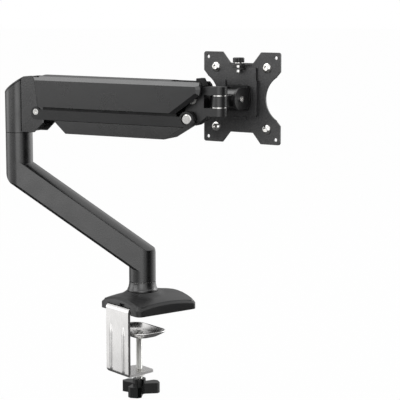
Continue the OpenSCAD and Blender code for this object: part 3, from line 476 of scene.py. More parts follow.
@contextmanager
def editing(piece: Piece) -> Iterator[None]:
    """Work on a piece in edit mode with nothing of it selected.

    Args:
        piece: The piece to edit.

    Yields:
        Nothing; object mode returns afterwards.
    """
    make_active(piece)
    bpy.ops.object.mode_set(mode="EDIT")
    bpy.ops.mesh.select_all(action="DESELECT")
    yield
    bpy.ops.object.mode_set(mode="OBJECT")


def apply_modifier(piece: Piece, kind: str, **settings: object) -> None:
    """Add a modifier, set it and apply it.

    Args:
        piece: The piece that takes the modifier.
        kind: Type name of the modifier.
        **settings: Its properties.
    """
    make_active(piece)
    bpy.ops.object.modifier_add(type=kind)
    modifier = piece.modifiers[-1]
    for key, value in settings.items():
        setattr(modifier, key, value)
    bpy.ops.object.modifier_apply(modifier=modifier.name)


def clean(piece: Piece, gap: float = SAME_POINT) -> None:
    """Merge doubled points and turn the faces outwards."""
    with editing(piece):
        bpy.ops.mesh.select_all(action="SELECT")
        bpy.ops.mesh.remove_doubles(threshold=gap)
        bpy.ops.mesh.normals_make_consistent(inside=False)


def round_edges(piece: Piece, width: float, segments: int = 2, angle: float = 32) -> Piece:
    """Round every edge sharper than an angle, then shade smoothly.

    Args:
        piece: The piece to finish.
        width: Width of the rounding in millimetres.
        segments: Faces across the rounding.
        angle: Angle in degrees above which an edge is rounded.

    Returns:
        The piece.
    """
    apply_modifier(piece, "BEVEL", width=width, segments=segments, limit_method="ANGLE",
                   angle_limit=math.radians(angle), use_clamp_overlap=True, miter_outer="MITER_ARC")
    return smooth(piece)


def smooth(piece: Piece, angle: float = 30) -> Piece:
    """Shade a piece smoothly up to an angle between its faces, and return it."""
    make_active(piece)
    bpy.ops.object.shade_smooth_by_angle(angle=math.radians(angle))
    apply_modifier(piece, "WEIGHTED_NORMAL", keep_sharp=True)
    return piece


def cut(piece: Piece, tool: Piece) -> None:
    """Cut a piece with a tool solid, which is used up."""
    apply_modifier(piece, "BOOLEAN", object=tool, operation="DIFFERENCE", solver="EXACT")
    bpy.data.objects.remove(tool)


def slice_off(piece: Piece, point: Point, normal: Point) -> None:
    """Cut away what lies beyond a plane and close the face.

    Args:
        piece: The piece to cut.
        point: A point of the plane.
        normal: Direction of the side that goes.
    """
    with editing(piece):
        bpy.ops.mesh.select_all(action="SELECT")
        bpy.ops.mesh.bisect(plane_co=point, plane_no=Vector(normal).normalized(), use_fill=True,
                            clear_outer=True)


def added(name: str, data: bpy.types.ID) -> Piece:
    """Add an object with that data to the scene and return it."""
    item = bpy.data.objects.new(name, data)
    bpy.context.scene.collection.objects.link(item)
    return item


def settled(name: str) -> Piece:
    """Name the new primitive, put its place into its mesh and return it."""
    piece = bpy.context.object
    piece.name = name
    bpy.ops.object.transform_apply(location=True, rotation=True, scale=True)
    return piece


def block(name: str, low: Point, high: Point) -> Piece:
    """Add a block between two corners.

    Args:
        name: Name of the block.
        low: Lowest corner.
        high: Highest corner.

    Returns:
        The block, at the origin.
    """
    deselect_all()
    middle = [(a + b) / 2 for a, b in zip(low, high)]
    bpy.ops.mesh.primitive_cube_add(size=1, location=middle)
    bpy.context.object.scale = [b - a for a, b in zip(low, high)]
    return settled(name)


def drum(name: str, low: Point, axis: Point, radius: float, height: float,
         sides: int = 64) -> Piece:
    """Add a cylinder that stands on a point.

    Args:
        name: Name of the cylinder.
        low: Middle of its first end.
        axis: Direction towards its other end.
        radius: Its radius.
        height: Its height.
        sides: Number of its sides.

    Returns:
        The cylinder, at the origin.
    """
    deselect_all()
    along = Vector(axis).normalized()
    bpy.ops.mesh.primitive_cylinder_add(vertices=sides, radius=radius, depth=height,
                                        location=Vector(low) + along * height / 2,
                                        rotation=along.to_track_quat("Z", "Y").to_euler())
    return settled(name)


class Ends(Enum):
    """How the two ends of a skin are closed."""

    CAPPED = "capped"
    JOINED = "joined"


def skin(name: str, rings: Sequence[Ring], ends: Ends) -> Piece:
    """Wrap a grid primitive over rings of points.

    Args:
        name: Name of the piece.
        rings: Rings with the same number of points, one after the other.
        ends: CAPPED closes each end with a face, JOINED joins the last ring to the first.

    Returns:
        The closed piece, at the origin.
    """
    rows = list(rings) + ([rings[0]] if ends is Ends.JOINED else [])
    count = len(rings[0])
    deselect_all()
    bpy.ops.mesh.primitive_grid_add(x_subdivisions=count, y_subdivisions=len(rows) - 1, size=1)
    piece = bpy.context.object
    piece.name = name
    points = [row[k % count] for row in rows for k in range(count + 1)]
    for vertex, point in zip(piece.data.vertices, points):
        vertex.co = point
    clean(piece)
    if ends is Ends.CAPPED:
        with editing(piece):
            bpy.ops.mesh.select_mode(type="EDGE")
            bpy.ops.mesh.select_non_manifold()
            bpy.ops.mesh.edge_face_add()
        clean(piece)
    return piece


def ring(radii: Sequence[float], z: float) -> Ring:
    """Return a level ring of points at these radii, evenly round the z axis."""
    step = math.tau / len(radii)
    return [(radius * math.cos(step * k), radius * math.sin(step * k), z)
            for k, radius in enumerate(radii)]


def turned(name: str, profile: Sequence[Flat], count: int = 48) -> Piece:
    """Turn a profile of (radius, height) about the z axis.

    Args:
        name: Name of the piece.
        profile: Corners of the profile, from one end to the other.
        count: Points round each ring.

    Returns:
        The turned piece, closed at both ends.
    """
    return skin(name, [ring([radius] * count, z) for radius, z in profile], Ends.CAPPED)


def spread(start: Flat, end: Flat, count: int) -> list[Flat]:
    """Return points evenly between two points, without the two."""
    shares = [(k + 1) / (count + 1) for k in range(count)]
    return [(start[0] + (end[0] - start[0]) * t, start[1] + (end[1] - start[1]) * t)
            for t in shares]


def at_radius(x: float, y: float, radius: float) -> Flat:
    """Return the point in the direction of x, y at a radius from the axis."""
    away = math.hypot(x, y)
    return x / away * radius, y / away * radius


def rounded_outline(width: float, depth: float, radius: float, middle: float = 0.0,
                    steps: int = 8, along: int = 6) -> list[Flat]:
    """Return the outline of a rounded rectangle, with the same point count at any size.

    Args:
        width: Full width along x.
        depth: Full depth along y.
        radius: Radius of the corners.
        middle: Middle of the rectangle along y.
        steps: Steps round each corner.
        along: Points along each straight side.

    Returns:
        Points anticlockwise from the right side.
    """
    points: list[Flat] = []
    for quarter, (sx, sy) in enumerate(((1, 1), (-1, 1), (-1, -1), (1, -1))):
        cx, cy = sx * (width / 2 - radius), sy * (depth / 2 - radius)
        angles = [math.radians(90 * (quarter + k / steps)) for k in range(steps + 1)]
        arc = [(cx + radius * math.cos(a), cy + radius * math.sin(a)) for a in angles]
        points += [*(spread(points[-1], arc[0], along) if points else ()), *arc]
    points += spread(points[-1], points[0], along)
    return [(x, y + middle) for x, y in points]


def merged_copy(name: str, node: str, station: Station) -> Piece:
    """Copy a node of the frame into station millimetres, with its triangles merged.

    Args:
        name: Name of the copy.
        node: Name of the node.
        station: Station that the copy is worked on at.

    Returns:
        The copy, with flat faces dissolved into one each.
    """
    piece = added(name, frame["nodes"][node].data.copy())
    piece.data.materials.clear()
    piece.data.transform(station.matrix().inverted())
    with editing(piece):
        bpy.ops.mesh.customdata_custom_splitnormals_clear()
        bpy.ops.mesh.select_all(action="SELECT")
        bpy.ops.mesh.remove_doubles(threshold=SAME_CAD_POINT)
        bpy.ops.mesh.dissolve_limited(angle_limit=SAME_PLANE)
    return piece


class Assembly:
    """A sub-assembly, with the ways in which its pieces reach the arm."""

    def hand_over(self, piece: Piece, station: Station, finish: Finish, body: str,
                  *nodes: str) -> None:
        """Bring a piece to the row frame, dress it and give it to its body.

        Args:
            piece: The finished piece, in station millimetres.
            station: Station that it was modelled at.
            finish: Its finish.
            body: Body that carries it.
            *nodes: Nodes that it stands for.
        """
        piece.data.transform(station.matrix())
        piece.data.update()
        piece.data.materials.clear()
        piece.data.materials.append(finish.build())
        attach(piece, body)
        if nodes:
            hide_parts(*nodes)
        log.info("%s: %d faces on %s", piece.name, len(piece.data.polygons), body)

    def dress(self, finish: Finish, *nodes: str) -> None:
        """Give nodes of the frame a finish as they are.

        Args:
            finish: The finish.
            *nodes: Names of the nodes.
        """
        for name in nodes:
            node = frame["nodes"][name]
            node.data.materials.clear()
            node.data.materials.append(finish.build())
            log.info("%s: dressed as %s", name, finish.name)

    def soften(self, node: str, station: Station, finish: Finish, width: float,
               segments: int = 2) -> None:
        """Replace a node by its own shape with rounded edges.

        Args:
            node: Name of the node.
            station: Station for the work.
            finish: Finish of the piece.
            width: Width of the rounding in millimetres.
            segments: Faces across the rounding.
        """
        piece = round_edges(merged_copy(node + "_shape", node, station), width, segments)
        body = frame["nodes"][node]["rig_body"]
        self.hand_over(piece, station, finish, body, node)


# Sub-assemblies


@dataclass
class DeskBase(Assembly):
    """The crowned cover, plate, pad and post that stand on the desk."""

    width: float = 88
    rear: float = 38
    front: float = 57
    crown: float = 23
    across: float = 9
    along: float = 4.5
    corner: float = 7
    wall: float = 2.5
    band: float = 3.2
    band_edge: float = 0.15
    inside: float = 5.6
    bore: float = 15.4
    neck: float = 21.2
    neck_round: float = 0.7
    neck_top: float = 24.4
    neck_rim: float = 0.2
    flare: float = 31
    flare_power: float = 2.2
    flare_steps: int = 26
    opening: float = 26
    opening_top: float = 9.3
    notch: Flat = (2.5, 13)
    notch_rise: float = 3.4
    collar_edge: float = 0.3

    @property
    def middle(self) -> float:
        """Middle of the cover along y."""
        return (self.front - self.rear) / 2

    def surface(self, x: float, y: float) -> float:
        """Find the height of the crowned top, an arc across swept along a longer arc.

        Args:
            x: Place across the cover.
            y: Place along it.

        Returns:
            The height.
        """
        half_w, half_l = self.width / 2, (self.front + self.rear) / 2
        barrel = (half_w ** 2 + self.across ** 2) / (2 * self.across)
        sweep = (half_l ** 2 + self.along ** 2) / (2 * self.along)
        reach = sweep - barrel + math.sqrt(barrel ** 2 - min(abs(x), half_w) ** 2)
        return self.crown - sweep + math.sqrt(reach ** 2 - (y - self.middle) ** 2)

    def flared(self, x: float, y: float) -> float:
        """Return the height of the top with its rise towards the column."""
        share = (self.flare - math.hypot(x, y)) / (self.flare - self.neck)
        base = self.surface(x, y)
        return base + (self.neck_top - base) * max(0.0, min(1.0, share)) ** self.flare_power

    def outline(self, inset: float) -> list[Flat]:
        """Return the cover's outline moved inwards."""
        return rounded_outline(self.width - 2 * inset, self.front + self.rear - 2 * inset,
                               self.corner - inset / 2, self.middle)

    def cover(self) -> Piece:
        """Model the cover: sides, bevel band, crowned and flared top, hollow below.

        Returns:
            The cover, without its openings.
        """
        side, rim = self.outline(0.0), self.outline(self.band)
        rows = [[(x, y, z) for x, y in self.outline(inset)]
                for inset, z in ((self.wall, self.inside), (self.wall, 0.0), (0.0, 0.0))]
        for drop, inset in ((self.band, 0.0), (self.band * 0.5, self.band * 0.32),
                            (self.band_edge, self.band * 0.85)):
            rows.append([(x, y, self.surface(*edge) - drop)
                         for (x, y), edge in zip(self.outline(inset), side)])
        rows.append([(x, y, self.surface(x, y)) for x, y in rim])
        for k in range(1, self.flare_steps + 1):
            share = k / self.flare_steps
            row = []
            for x, y in rim:
                cx, cy = at_radius(x, y, self.neck)
                px, py = x + (cx - x) * share, y + (cy - y) * share
                row.append((px, py, self.flared(px, py)))
            rows.append(row)
        top = self.neck_top + self.neck_rim
        for radius, z in ((self.neck - self.neck_round, top), (self.bore, top),
                          (self.bore, self.inside)):
            rows.append([(*at_radius(x, y, radius), z) for x, y in rim])
        return skin("base_cover_shell", rows, Ends.JOINED)

    def make(self) -> None:
        """Build and dress the base."""
        desk = desk_station()
        shell = self.cover()
        back, inner = -self.rear - 1, -self.rear + self.wall + 2
        cut(shell, block("opening_tool", (-self.opening, back, -1),
                         (self.opening, inner, self.opening_top)))
        cut(shell, block("notch_tool", (self.notch[0], back, self.opening_top - 1),
                         (self.notch[1], inner, self.opening_top + self.notch_rise)))
        smooth(shell, 35)
        self.hand_over(shell, desk, BASE_PLASTIC, "base", "base_cover")
        self.soften("swivel_collar", desk, CAST_PAINT, self.collar_edge)
        self.dress(ZINC_STEEL, "base_plate", "base_post")
        self.dress(DESK_RUBBER, "base_pad")
        self.dress(BRIGHT_NICKEL, "post_bolts")


@dataclass
class DeskClamp(Assembly):
    """The bracket, screw, pressure plate and handle below the desk."""

    width: float = 50
    thick: float = 3.5
    flange_top: float = 8.8
    flange_end: float = -18.2
    outer: float = -41
    drop: float = 83
    bend: float = 5.5
    ledge: tuple[float, ...] = (-28.0, -10.0, 2.0, 4.6, 6)
    foot_taper: float = 5
    taper_rise: float = 7
    tip_start: float = 2.0
    tip_width: float = 34
    tip_round: float = 3
    tip_middle: float = 2.9
    rib_x: float = 14
    rib_half: float = 3.3
    rib_depth: float = 1.9
    rib_rows: tuple[Flat, ...] = (
        (-16.0, 0.06), (-17.5, 0.3), (-20.0, 0.52), (-24.0, 0.78), (-29.0, 1.0), (-50.0, 1.0),
        (-74.0, 1.0), (-77.5, 0.85), (-79.5, 0.3))
    screw_y: float = -6
    screw_r: float = 4
    screw_tip: float = 4
    thread: float = 0.9
    pitch: float = 1.25
    rim_z: float = -25
    dish: float = 9
    strip_edge: float = 0.7
    handle_edge: float = 1.1

    def quarter(self, start: float, steps: int, z: float) -> list[tuple[float, ...]]:
        """Return the rows of a quarter bend of the strip.

        Args:
            start: Angle of its first row, in degrees.
            steps: Number of its steps.
            z: Height of its middle.

        Returns:
            Rows of (y, z, outward y, outward z).
        """
        rows = []
        for k in range(steps + 1):
            a = math.radians(start + 90 * k / steps)
            rows.append((self.outer + self.bend + self.bend * math.cos(a),
                         z + self.bend * math.sin(a), math.cos(a), math.sin(a)))
        return rows

    def strip_path(self) -> list[tuple[float, ...]]:
        """Return the strip's outer line as (y, z, outward y, outward z) rows."""
        return [(self.flange_end, self.flange_top, 0.0, 1.0),
                *self.quarter(90, 8, self.flange_top - self.bend),
                (self.outer, -self.drop + 2.2 * self.bend, -1.0, 0.0),
                *self.quarter(180, 10, -self.drop + self.bend),
                *((y, -self.drop, 0.0, -1.0) for y in self.ledge)]

    def strip_width(self, y: float, z: float) -> float:
        """Find the strip's width, which tapers in the lower bend and along the ledge.

        Args:
            y: Place of a point of the outer line.
            z: Its height.

        Returns:
            The width there.
        """
        foot = self.width - self.foot_taper
        if z > -self.drop + 1e-6:
            low = max(0.0, min(1.0, (-self.drop + self.taper_rise - z) / self.taper_rise))
            return self.width - self.foot_taper * low ** 2.5
        if y > self.tip_start:
            left = self.tip_round ** 2 - (y - self.tip_middle) ** 2
            return self.tip_width - 2 * (self.tip_round - math.sqrt(max(0.0, left)))
        share = (y - (self.outer + self.bend)) / (self.tip_start - self.outer - self.bend)
        return foot - (foot - self.tip_width) * max(0.0, share)

    def bracket(self) -> Piece:
        """Model the bent steel strip.

        Returns:
            The strip, with the screw's hole in its ledge.
        """
        rows = []
        for y, z, out_y, out_z in self.strip_path():
            half = self.strip_width(y, z) / 2
            inner = (y - self.thick * out_y, z - self.thick * out_z)
            rows.append([(-half, y, z), (half, y, z), (half, *inner), (-half, *inner)])
        strip = skin("clamp_strip", rows, Ends.CAPPED)
        cut(strip, drum("screw_tool", (0, self.screw_y, -self.drop - 2), (0, 0, 1),
                        self.screw_r + 0.5, self.thick + 4))
        return round_edges(strip, self.strip_edge, 3)

    def rib(self, name: str, x: float) -> Piece:
        """Model one pressed rib that fades out at its top.

        Args:
            name: Name of the rib.
            x: Place of its middle.

        Returns:
            The rib.
        """
        rows = []
        for z, size in self.rib_rows:
            half = self.rib_half * (0.35 + 0.65 * size)
            rows.append([(x + half * math.cos(math.radians(a)),
                          self.outer + 0.4 - self.rib_depth * size * math.sin(math.radians(a)), z)
                         for a in range(0, 181, 15)] + [(x, self.outer + 1.0, z)])
        return smooth(skin(name, rows, Ends.CAPPED), 50)

    def pad(self) -> Piece:
        """Model the dished pressure plate with its rolled rim.

        Returns:
            The pressure plate.
        """
        low, rim = self.rim_z - self.dish, self.rim_z
        outlines = (
            (46, 30, 11, low), (50, 34, 12, low + 0.5), (62, 43, 14, low + 4.0),
            (70.6, 47.2, 15, rim - 2.4), (72, 48, 15.5, rim - 1.4), (71.6, 47.6, 15.4, rim - 0.4),
            (70.4, 46.4, 15, rim), (68.6, 44.8, 14.6, rim - 0.1), (66.8, 43.2, 14, rim - 0.9),
            (60, 39, 13, low + 4.6), (49, 31.5, 11, low + 2.6), (44, 28, 10, low + 2.2))
        rows = [[(x, y, z) for x, y in rounded_outline(width, depth, radius, self.screw_y)]
                for width, depth, radius, z in outlines]
        return smooth(skin("pressure_dish", rows, Ends.CAPPED), 50)

    def screw(self, top: float, low: float) -> Piece:
        """Model the screw with its thread, from the handle up into the plate.

        Args:
            top: Height of its upper end.
            low: Height of its lower end.

        Returns:
            The screw.
        """
        root = self.screw_r - self.thread
        rows = [(root, low)]
        count = int((top - self.screw_tip - low) / self.pitch)
        for k in range(count):
            z = low + k * self.pitch
            rows += [(self.screw_r - self.thread / 2, z + 0.2), (self.screw_r, z + 0.65)]
        rows += [(root, top - self.screw_tip), (self.screw_r - 1, top - 1.2), (2.2, top)]
        piece = turned("clamp_screw_thread", rows, 32)
        for vertex in piece.data.vertices:
            vertex.co.y += self.screw_y
        return smooth(piece, 60)

    def make(self) -> None:
        """Build and dress the clamp."""
        desk = desk_station()
        self.hand_over(self.bracket(), desk, CLAMP_NICKEL, "base", "clamp_bracket")
        for name, x in (("clamp_rib_left", -self.rib_x), ("clamp_rib_right", self.rib_x)):
            self.hand_over(self.rib(name, x), desk, CLAMP_NICKEL, "base")
        self.hand_over(self.pad(), desk, CLAMP_NICKEL, "clamp_pad", "pressure_plate")
        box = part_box("clamp_spindle")
        self.hand_over(self.screw(box[1][2] / MM, box[0][2] / MM), desk, ZINC_STEEL,
                       "clamp_screw", "clamp_spindle")
        self.soften("clamp_handle", desk, HANDLE_PLASTIC, self.handle_edge, 3)
        self.dress(BRIGHT_NICKEL, "bracket_bolts", "clamp_nut")
        self.dress(ZINC_STEEL, "pressure_rivet")


@dataclass
class LowerArm(Assembly):
    """The cast lower arm with its bushes and cable cover."""

    casting_edge: float = 0.5
    cover_edge: float = 0.4

    def make(self) -> None:
        """Build and dress the lower arm."""
        lower = lower_station()
        self.soften("lower_arm_casting", lower, CAST_PAINT, self.casting_edge)
        self.soften("lower_cable_cover", lower, COVER_PLASTIC, self.cover_edge)
        self.dress(CAP_RUBBER, "base_bushes", "elbow_bushes", "elbow_washer")
        self.dress(DARK_STEEL, "tension_screws")


@dataclass
class Elbow(Assembly):
    """The elbow bracket that carries the upper arm."""

    column_x: float = -36.3
    column_r: float = 17.4
    top: float = 44
    slope_end: float = -22.3
    slope: float = 35
    cap: float = 2.6
    tool_half: float = 18
    lid_edge: float = 0.5

    def cut_slope(self, piece: Piece, drop: float, keep_below: bool) -> None:
        """Cut a piece along the slanted top of the column.

        Args:
            piece: The piece to cut.
            drop: Distance of the cut below the slanted face.
            keep_below: True keeps what lies under the cut.
        """
        turn = math.radians(self.slope)
        normal = Vector((-math.sin(turn), 0, math.cos(turn)))
        point = Vector((self.slope_end, 0, self.top)) - normal * drop
        slice_off(piece, tuple(point), tuple(normal if keep_below else -normal))

    def casting(self, pivot: Station) -> Piece:
        """Model the bracket: round column, slanted on top, with its two cheeks.

        Args:
            pivot: Station that it is modelled at.

        Returns:
            The casting.
        """
        piece = merged_copy("elbow_casting", "elbow_bracket", pivot)
        low = min(vertex.co.z for vertex in piece.data.vertices)
        tool = block("column_tool", (self.column_x, -self.tool_half, low - 1),
                     (self.slope_end, self.tool_half, self.top + 2))
        cut(tool, drum("column_core", (self.column_x, 0, low - 5), (0, 0, 1),
                       self.column_r, self.top - low + 12, FINE_SIDES))
        cut(piece, tool)
        self.cut_slope(piece, self.cap, True)
        clean(piece, 0.02)
        return smooth(piece)

    def lid(self) -> Piece:
        """Model the thin cap that lies on the slanted top.

        Returns:
            The lid.
        """
        piece = drum("elbow_lid", (self.column_x, 0, 0), (0, 0, 1), self.column_r,
                     self.top + 12, FINE_SIDES)
        self.cut_slope(piece, 0.0, True)
        self.cut_slope(piece, self.cap - 0.25, False)
        slice_off(piece, (self.slope_end + 0.3, 0, 0), (1, 0, 0))
        return round_edges(piece, self.lid_edge, 3)

    def make(self) -> None:
        """Build and dress the elbow."""
        pivot = pivot_station()
        self.hand_over(self.casting(pivot), pivot, CAST_PAINT, "elbow", "elbow_bracket")
        self.hand_over(self.lid(), pivot, COVER_PLASTIC, "elbow", "elbow_cap")
        self.dress(BRIGHT_NICKEL, "lift_pin")
        self.dress(ZINC_STEEL, "elbow_shaft", "link_rear_pins", "spring_anchor_pin")


@dataclass
class UpperArm(Assembly):
    """The frame, covers, link and gas spring of the upper arm."""

    length: float = 209.5
    face: float = 22
    shell: float = 2.2
    top: float = 45
    low: float = 6.6
    shoulder: float = 5
    crown: float = 1.5
    seam: float = 1.2
    rear_band: Flat = (3.4, 4.0)
    front_band: Flat = (5.0, 1.7)
    skirt: Flat = (17.6, 19.2)
    # Span across the arm of the thin black strips that paint the shadow in the gap under each
    # cover.
    shadow_strip: Flat = (17.2, 17.7)
    cover_edge: float = 1.0
    frame_edge: float = 0.4
    tray_edge: float = 0.5

    def outline(self) -> list[Flat]:
        """Return the side view of a cover as (x, z), from the top of its rear end."""
        end = self.length
        return [(-5.0, self.top + 5), (-5.6, 34.0), (1.2, self.low), (end - 14, self.low),
                (end + 17, 29.6), (end + 18.3, 37.0), (end + 13.7, self.top + 5)]

    def cover(self, name: str, side: int) -> Piece:
        """Model one side cover with its bevels.

        Args:
            name: Name of the piece.
            side: 1 for the far cover, -1 for the near one.

        Returns:
            The cover.
        """
        corners = self.outline()
        rings = [[(x, side * y, z) for x, z in corners] for y in (self.seam, self.face)]
        piece = skin(name, rings, Ends.CAPPED)
        ridge = (0, side * (self.face - self.shoulder), self.top)
        slice_off(piece, ridge, (0, side, 1))
        slice_off(piece, ridge, (0, side * (self.crown / (self.face - self.shoulder)), 1))
        self.bevel(piece, side, (-5.0, 50.0), (1.2, self.low), self.rear_band)
        for start, finish in zip(corners[3:], corners[4:]):
            self.bevel(piece, side, start, finish, self.front_band)
        round_edges(piece, self.cover_edge, 3, 9)
        self.hollow(piece, side)
        return smooth(piece)

    def hollow(self, piece: Piece, side: int) -> None:
        """Hollow a cover, and thin it where it passes the elbow and the front bracket.

        Args:
            piece: The cover.
            side: Side of the cover.
        """
        end, inner, ceiling = self.length, self.face - self.shell, self.top - self.shell
        for front, depth in ((end - 24.0, inner), (end + 30.0, inner - 2.4)):
            room = [[(x, side * y, z) for y, z in ((-1, -5), (depth, -5), (depth, ceiling - 4.5),
                                                   (depth - 4.5, ceiling), (-1, ceiling + 1))]
                    for x in (-20.0, front)]
            cut(piece, skin("hollow_tool", room, Ends.CAPPED))
        for name, low, high, reach in (("rear_tool", -20.0, 4.0, 18.4),
                                       ("front_tool", end - 25, end + 35, 13.0)):
            cut(piece, block(name, (low, min(side, side * reach), 0),
                             (high, max(side, side * reach), self.top + 5)))

    def bevel(self, piece: Piece, side: int, start: Flat, finish: Flat, band: Flat) -> None:
        """Cut a shallow bevel along one edge of the side face.

        Args:
            piece: The cover.
            side: Side of the cover.
            start: One end of the edge, as (x, z).
            finish: Its other end.
            band: Width of the bevel and its depth at the edge.
        """
        width, depth = band
        edge = Vector((finish[0] - start[0], 0, finish[1] - start[1])).normalized()
        outward = Vector((edge.z, 0, -edge.x))
        middle = Vector((self.length / 2, 0, 25)) - Vector((start[0], 0, start[1]))
        if outward.dot(middle) > 0:
            outward = -outward
        point = Vector((start[0], side * self.face, start[1])) - outward * width
        slice_off(piece, tuple(point), tuple(outward * depth + Vector((0, side, 0)) * width))

    def make(self) -> None:
        """Build and dress the upper arm."""
        arm = arm_station()
        self.soften("arm_frame", arm, STRIP_PAINT, self.frame_edge)
        for name, side, node in (("near_cover_shell", -1, "near_side_cover"),
                                 ("far_cover_shell", 1, "far_side_cover")):
            self.hand_over(self.cover(name, side), arm, COVER_PLASTIC, "upper_arm", node)
        skirt = block("far_skirt", (self.length - 34, self.skirt[0], -3),
                      (self.length + 13, self.skirt[1], 10))
        round_edges(skirt, self.frame_edge)
        self.hand_over(skirt, arm, STRIP_PAINT, "upper_arm")
        # Thin black strips in the recess under each cover: painted shadow that darkens the gap
        # between cover and frame.
        for name, side in (("near_painted_shadow", -1), ("far_painted_shadow", 1)):
            ends = sorted(side * reach for reach in self.shadow_strip)
            shadow_strip = block(name, (8, ends[0], 2.0), (self.length - 14, ends[1], self.low + 0.6))
            self.hand_over(shadow_strip, arm, CAP_RUBBER, "upper_arm")
        self.soften("arm_cable_cover", arm, COVER_PLASTIC, self.tray_edge)
        self.dress(BRIGHT_NICKEL, "front_pin_caps", "gas_spring_rod")
        self.dress(ZINC_STEEL, "front_pin", "spring_front_pin", "link_channel", "cover_screws")
        self.dress(WHITE_NYLON, "lift_bushes")
        self.dress(HANDLE_PLASTIC, "gas_spring_tube")


@dataclass
class FrontBracket(Assembly):
    """The bracket that holds the head swivel level."""

    bracket_edge: float = 0.5
    cap_edge: float = 0.8

    def make(self) -> None:
        """Build and dress the front bracket."""
        front = front_station()
        self.soften("front_bracket", front, BRACKET_PAINT, self.bracket_edge)
        self.soften("bracket_cap", front, CAP_RUBBER, self.cap_edge)
        self.dress(DARK_STEEL, "link_front_pins", "knuckle_pin")
        self.dress(BRIGHT_NICKEL, "knuckle_washers")


@dataclass
class TiltHead(Assembly):
    """The neck, tilt bracket and rotation disc."""

    bracket_edge: float = 0.5
    washer_edge: float = 0.3

    def make(self) -> None:
        """Build and dress the tilt head."""
        tilt = tilt_station()
        self.soften("head_neck", tilt, BRACKET_PAINT, self.bracket_edge)
        self.soften("tilt_bracket", tilt, EAR_PAINT, self.bracket_edge)
        self.soften("rotation_washer", tilt, CAP_RUBBER, self.washer_edge)
        self.dress(BRIGHT_NICKEL, "tilt_washers", "tilt_bolt", "tilt_nut")
        self.dress(ZINC_STEEL, "rotation_rivet")


@dataclass
class ScreenPlate(Assembly):
    """The quick-release plate, the screen plate, its screws and its knob."""

    face: float = 23.55
    spacing: float = 75
    head: tuple[Flat, ...] = (
        (1.4, -10.5), (2.0, -10.0), (2.0, -2.5), (2.2, -2.5), (2.2, 0), (6.2, 0), (6.2, 0.8),
        (5.9, 1.6), (5.1, 2.6), (3.9, 3.3), (3.0, 3.6), (2.7, 3.5), (2.4, 1.6))
    flutes: int = 22
    shank_r: float = 2.4
    carrier_edge: float = 0.3
    plate_edge: float = 0.5

    def screws(self, tilt: Station) -> None:
        """Model the four screws that hold the display.

        Args:
            tilt: Station on the tilt axis.
        """
        half = self.spacing / 2
        up = tilt.forward.cross(tilt.side)
        for number, (sy, sz) in enumerate(((-1, -1), (-1, 1), (1, -1), (1, 1)), start=1):
            place = tilt.matrix() @ Vector((self.face, sy * half, sz * half))
            seat = Station(place, up, tilt.side)
            screw = smooth(turned(f"display_screw_{number}", self.head), 40)
            self.hand_over(screw, seat, BRIGHT_NICKEL, "plate_carrier",
                           *(["vesa_screws"] if number == 1 else []))

    def knob(self) -> None:
        """Model the fluted knob and the bright screw below it."""
        low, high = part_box("release_screw")
        middle = (low + high) / 2
        seat = desk_station(middle.x, middle.y)
        radius = (high.x - low.x) / 2 / MM
        top, bottom = high.z / MM, low.z / MM
        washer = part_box("release_washer")[1].z / MM
        count = self.flutes * 4
        rings = []
        for z, shrink, wave in ((washer, 0.4, 0.0), (washer + 0.5, 0.0, 0.35),
                                (top - 0.8, 0.0, 0.35), (top, 0.9, 0.1)):
            rings.append(ring([radius - shrink - wave * (k % 4 < 2) for k in range(count)], z))
        knob = smooth(skin("release_knob_cap", rings, Ends.CAPPED), 25)
        body = frame["nodes"]["release_screw"]["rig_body"]
        self.hand_over(knob, seat, HANDLE_PLASTIC, body, "release_screw")
        shank = turned("release_shank", [(1.6, bottom), (self.shank_r, bottom + 0.8),
                                         (self.shank_r, washer - 0.02)], 32)
        smooth(shank, 40)
        self.hand_over(shank, seat, BRIGHT_NICKEL, body)

    def make(self) -> None:
        """Build and dress the screen plate."""
        tilt = tilt_station()
        self.soften("quick_release_plate", tilt, PLATE_POWDER, self.carrier_edge)
        self.soften("vesa_plate", tilt, PLATE_POWDER, self.plate_edge, 3)
        self.screws(tilt)
        self.knob()
        self.dress(BRIGHT_NICKEL, "release_washer")


# Studio


@dataclass
class Lamp:
    """A soft area lamp that points at a spot of the arm."""

    name: str
    place: Point
    aim: Point
    size: float
    power: float

    def make(self) -> None:
        """Add the lamp to the scene."""
        data = bpy.data.lights.new(self.name, "AREA")
        data.size = self.size
        data.energy = self.power
        lamp = added(self.name, data)
        lamp.location = self.place
        toward = Vector(self.aim) - Vector(self.place)
        lamp.rotation_euler = toward.to_track_quat("-Z", "Y").to_euler()


@dataclass(frozen=True)
class Flag:
    """A dark flag or a bright card beside the set, which glossy faces mirror.

    Attributes:
        heading: Compass direction from the arm, in degrees from +X.
        core: Half angle at full strength, in degrees.
        edge: Half angle at which it has faded out, in degrees.
        shade: Factor on the surroundings in its middle, above 1 for a card.
    """

    heading: float
    core: float
    edge: float
    shade: float


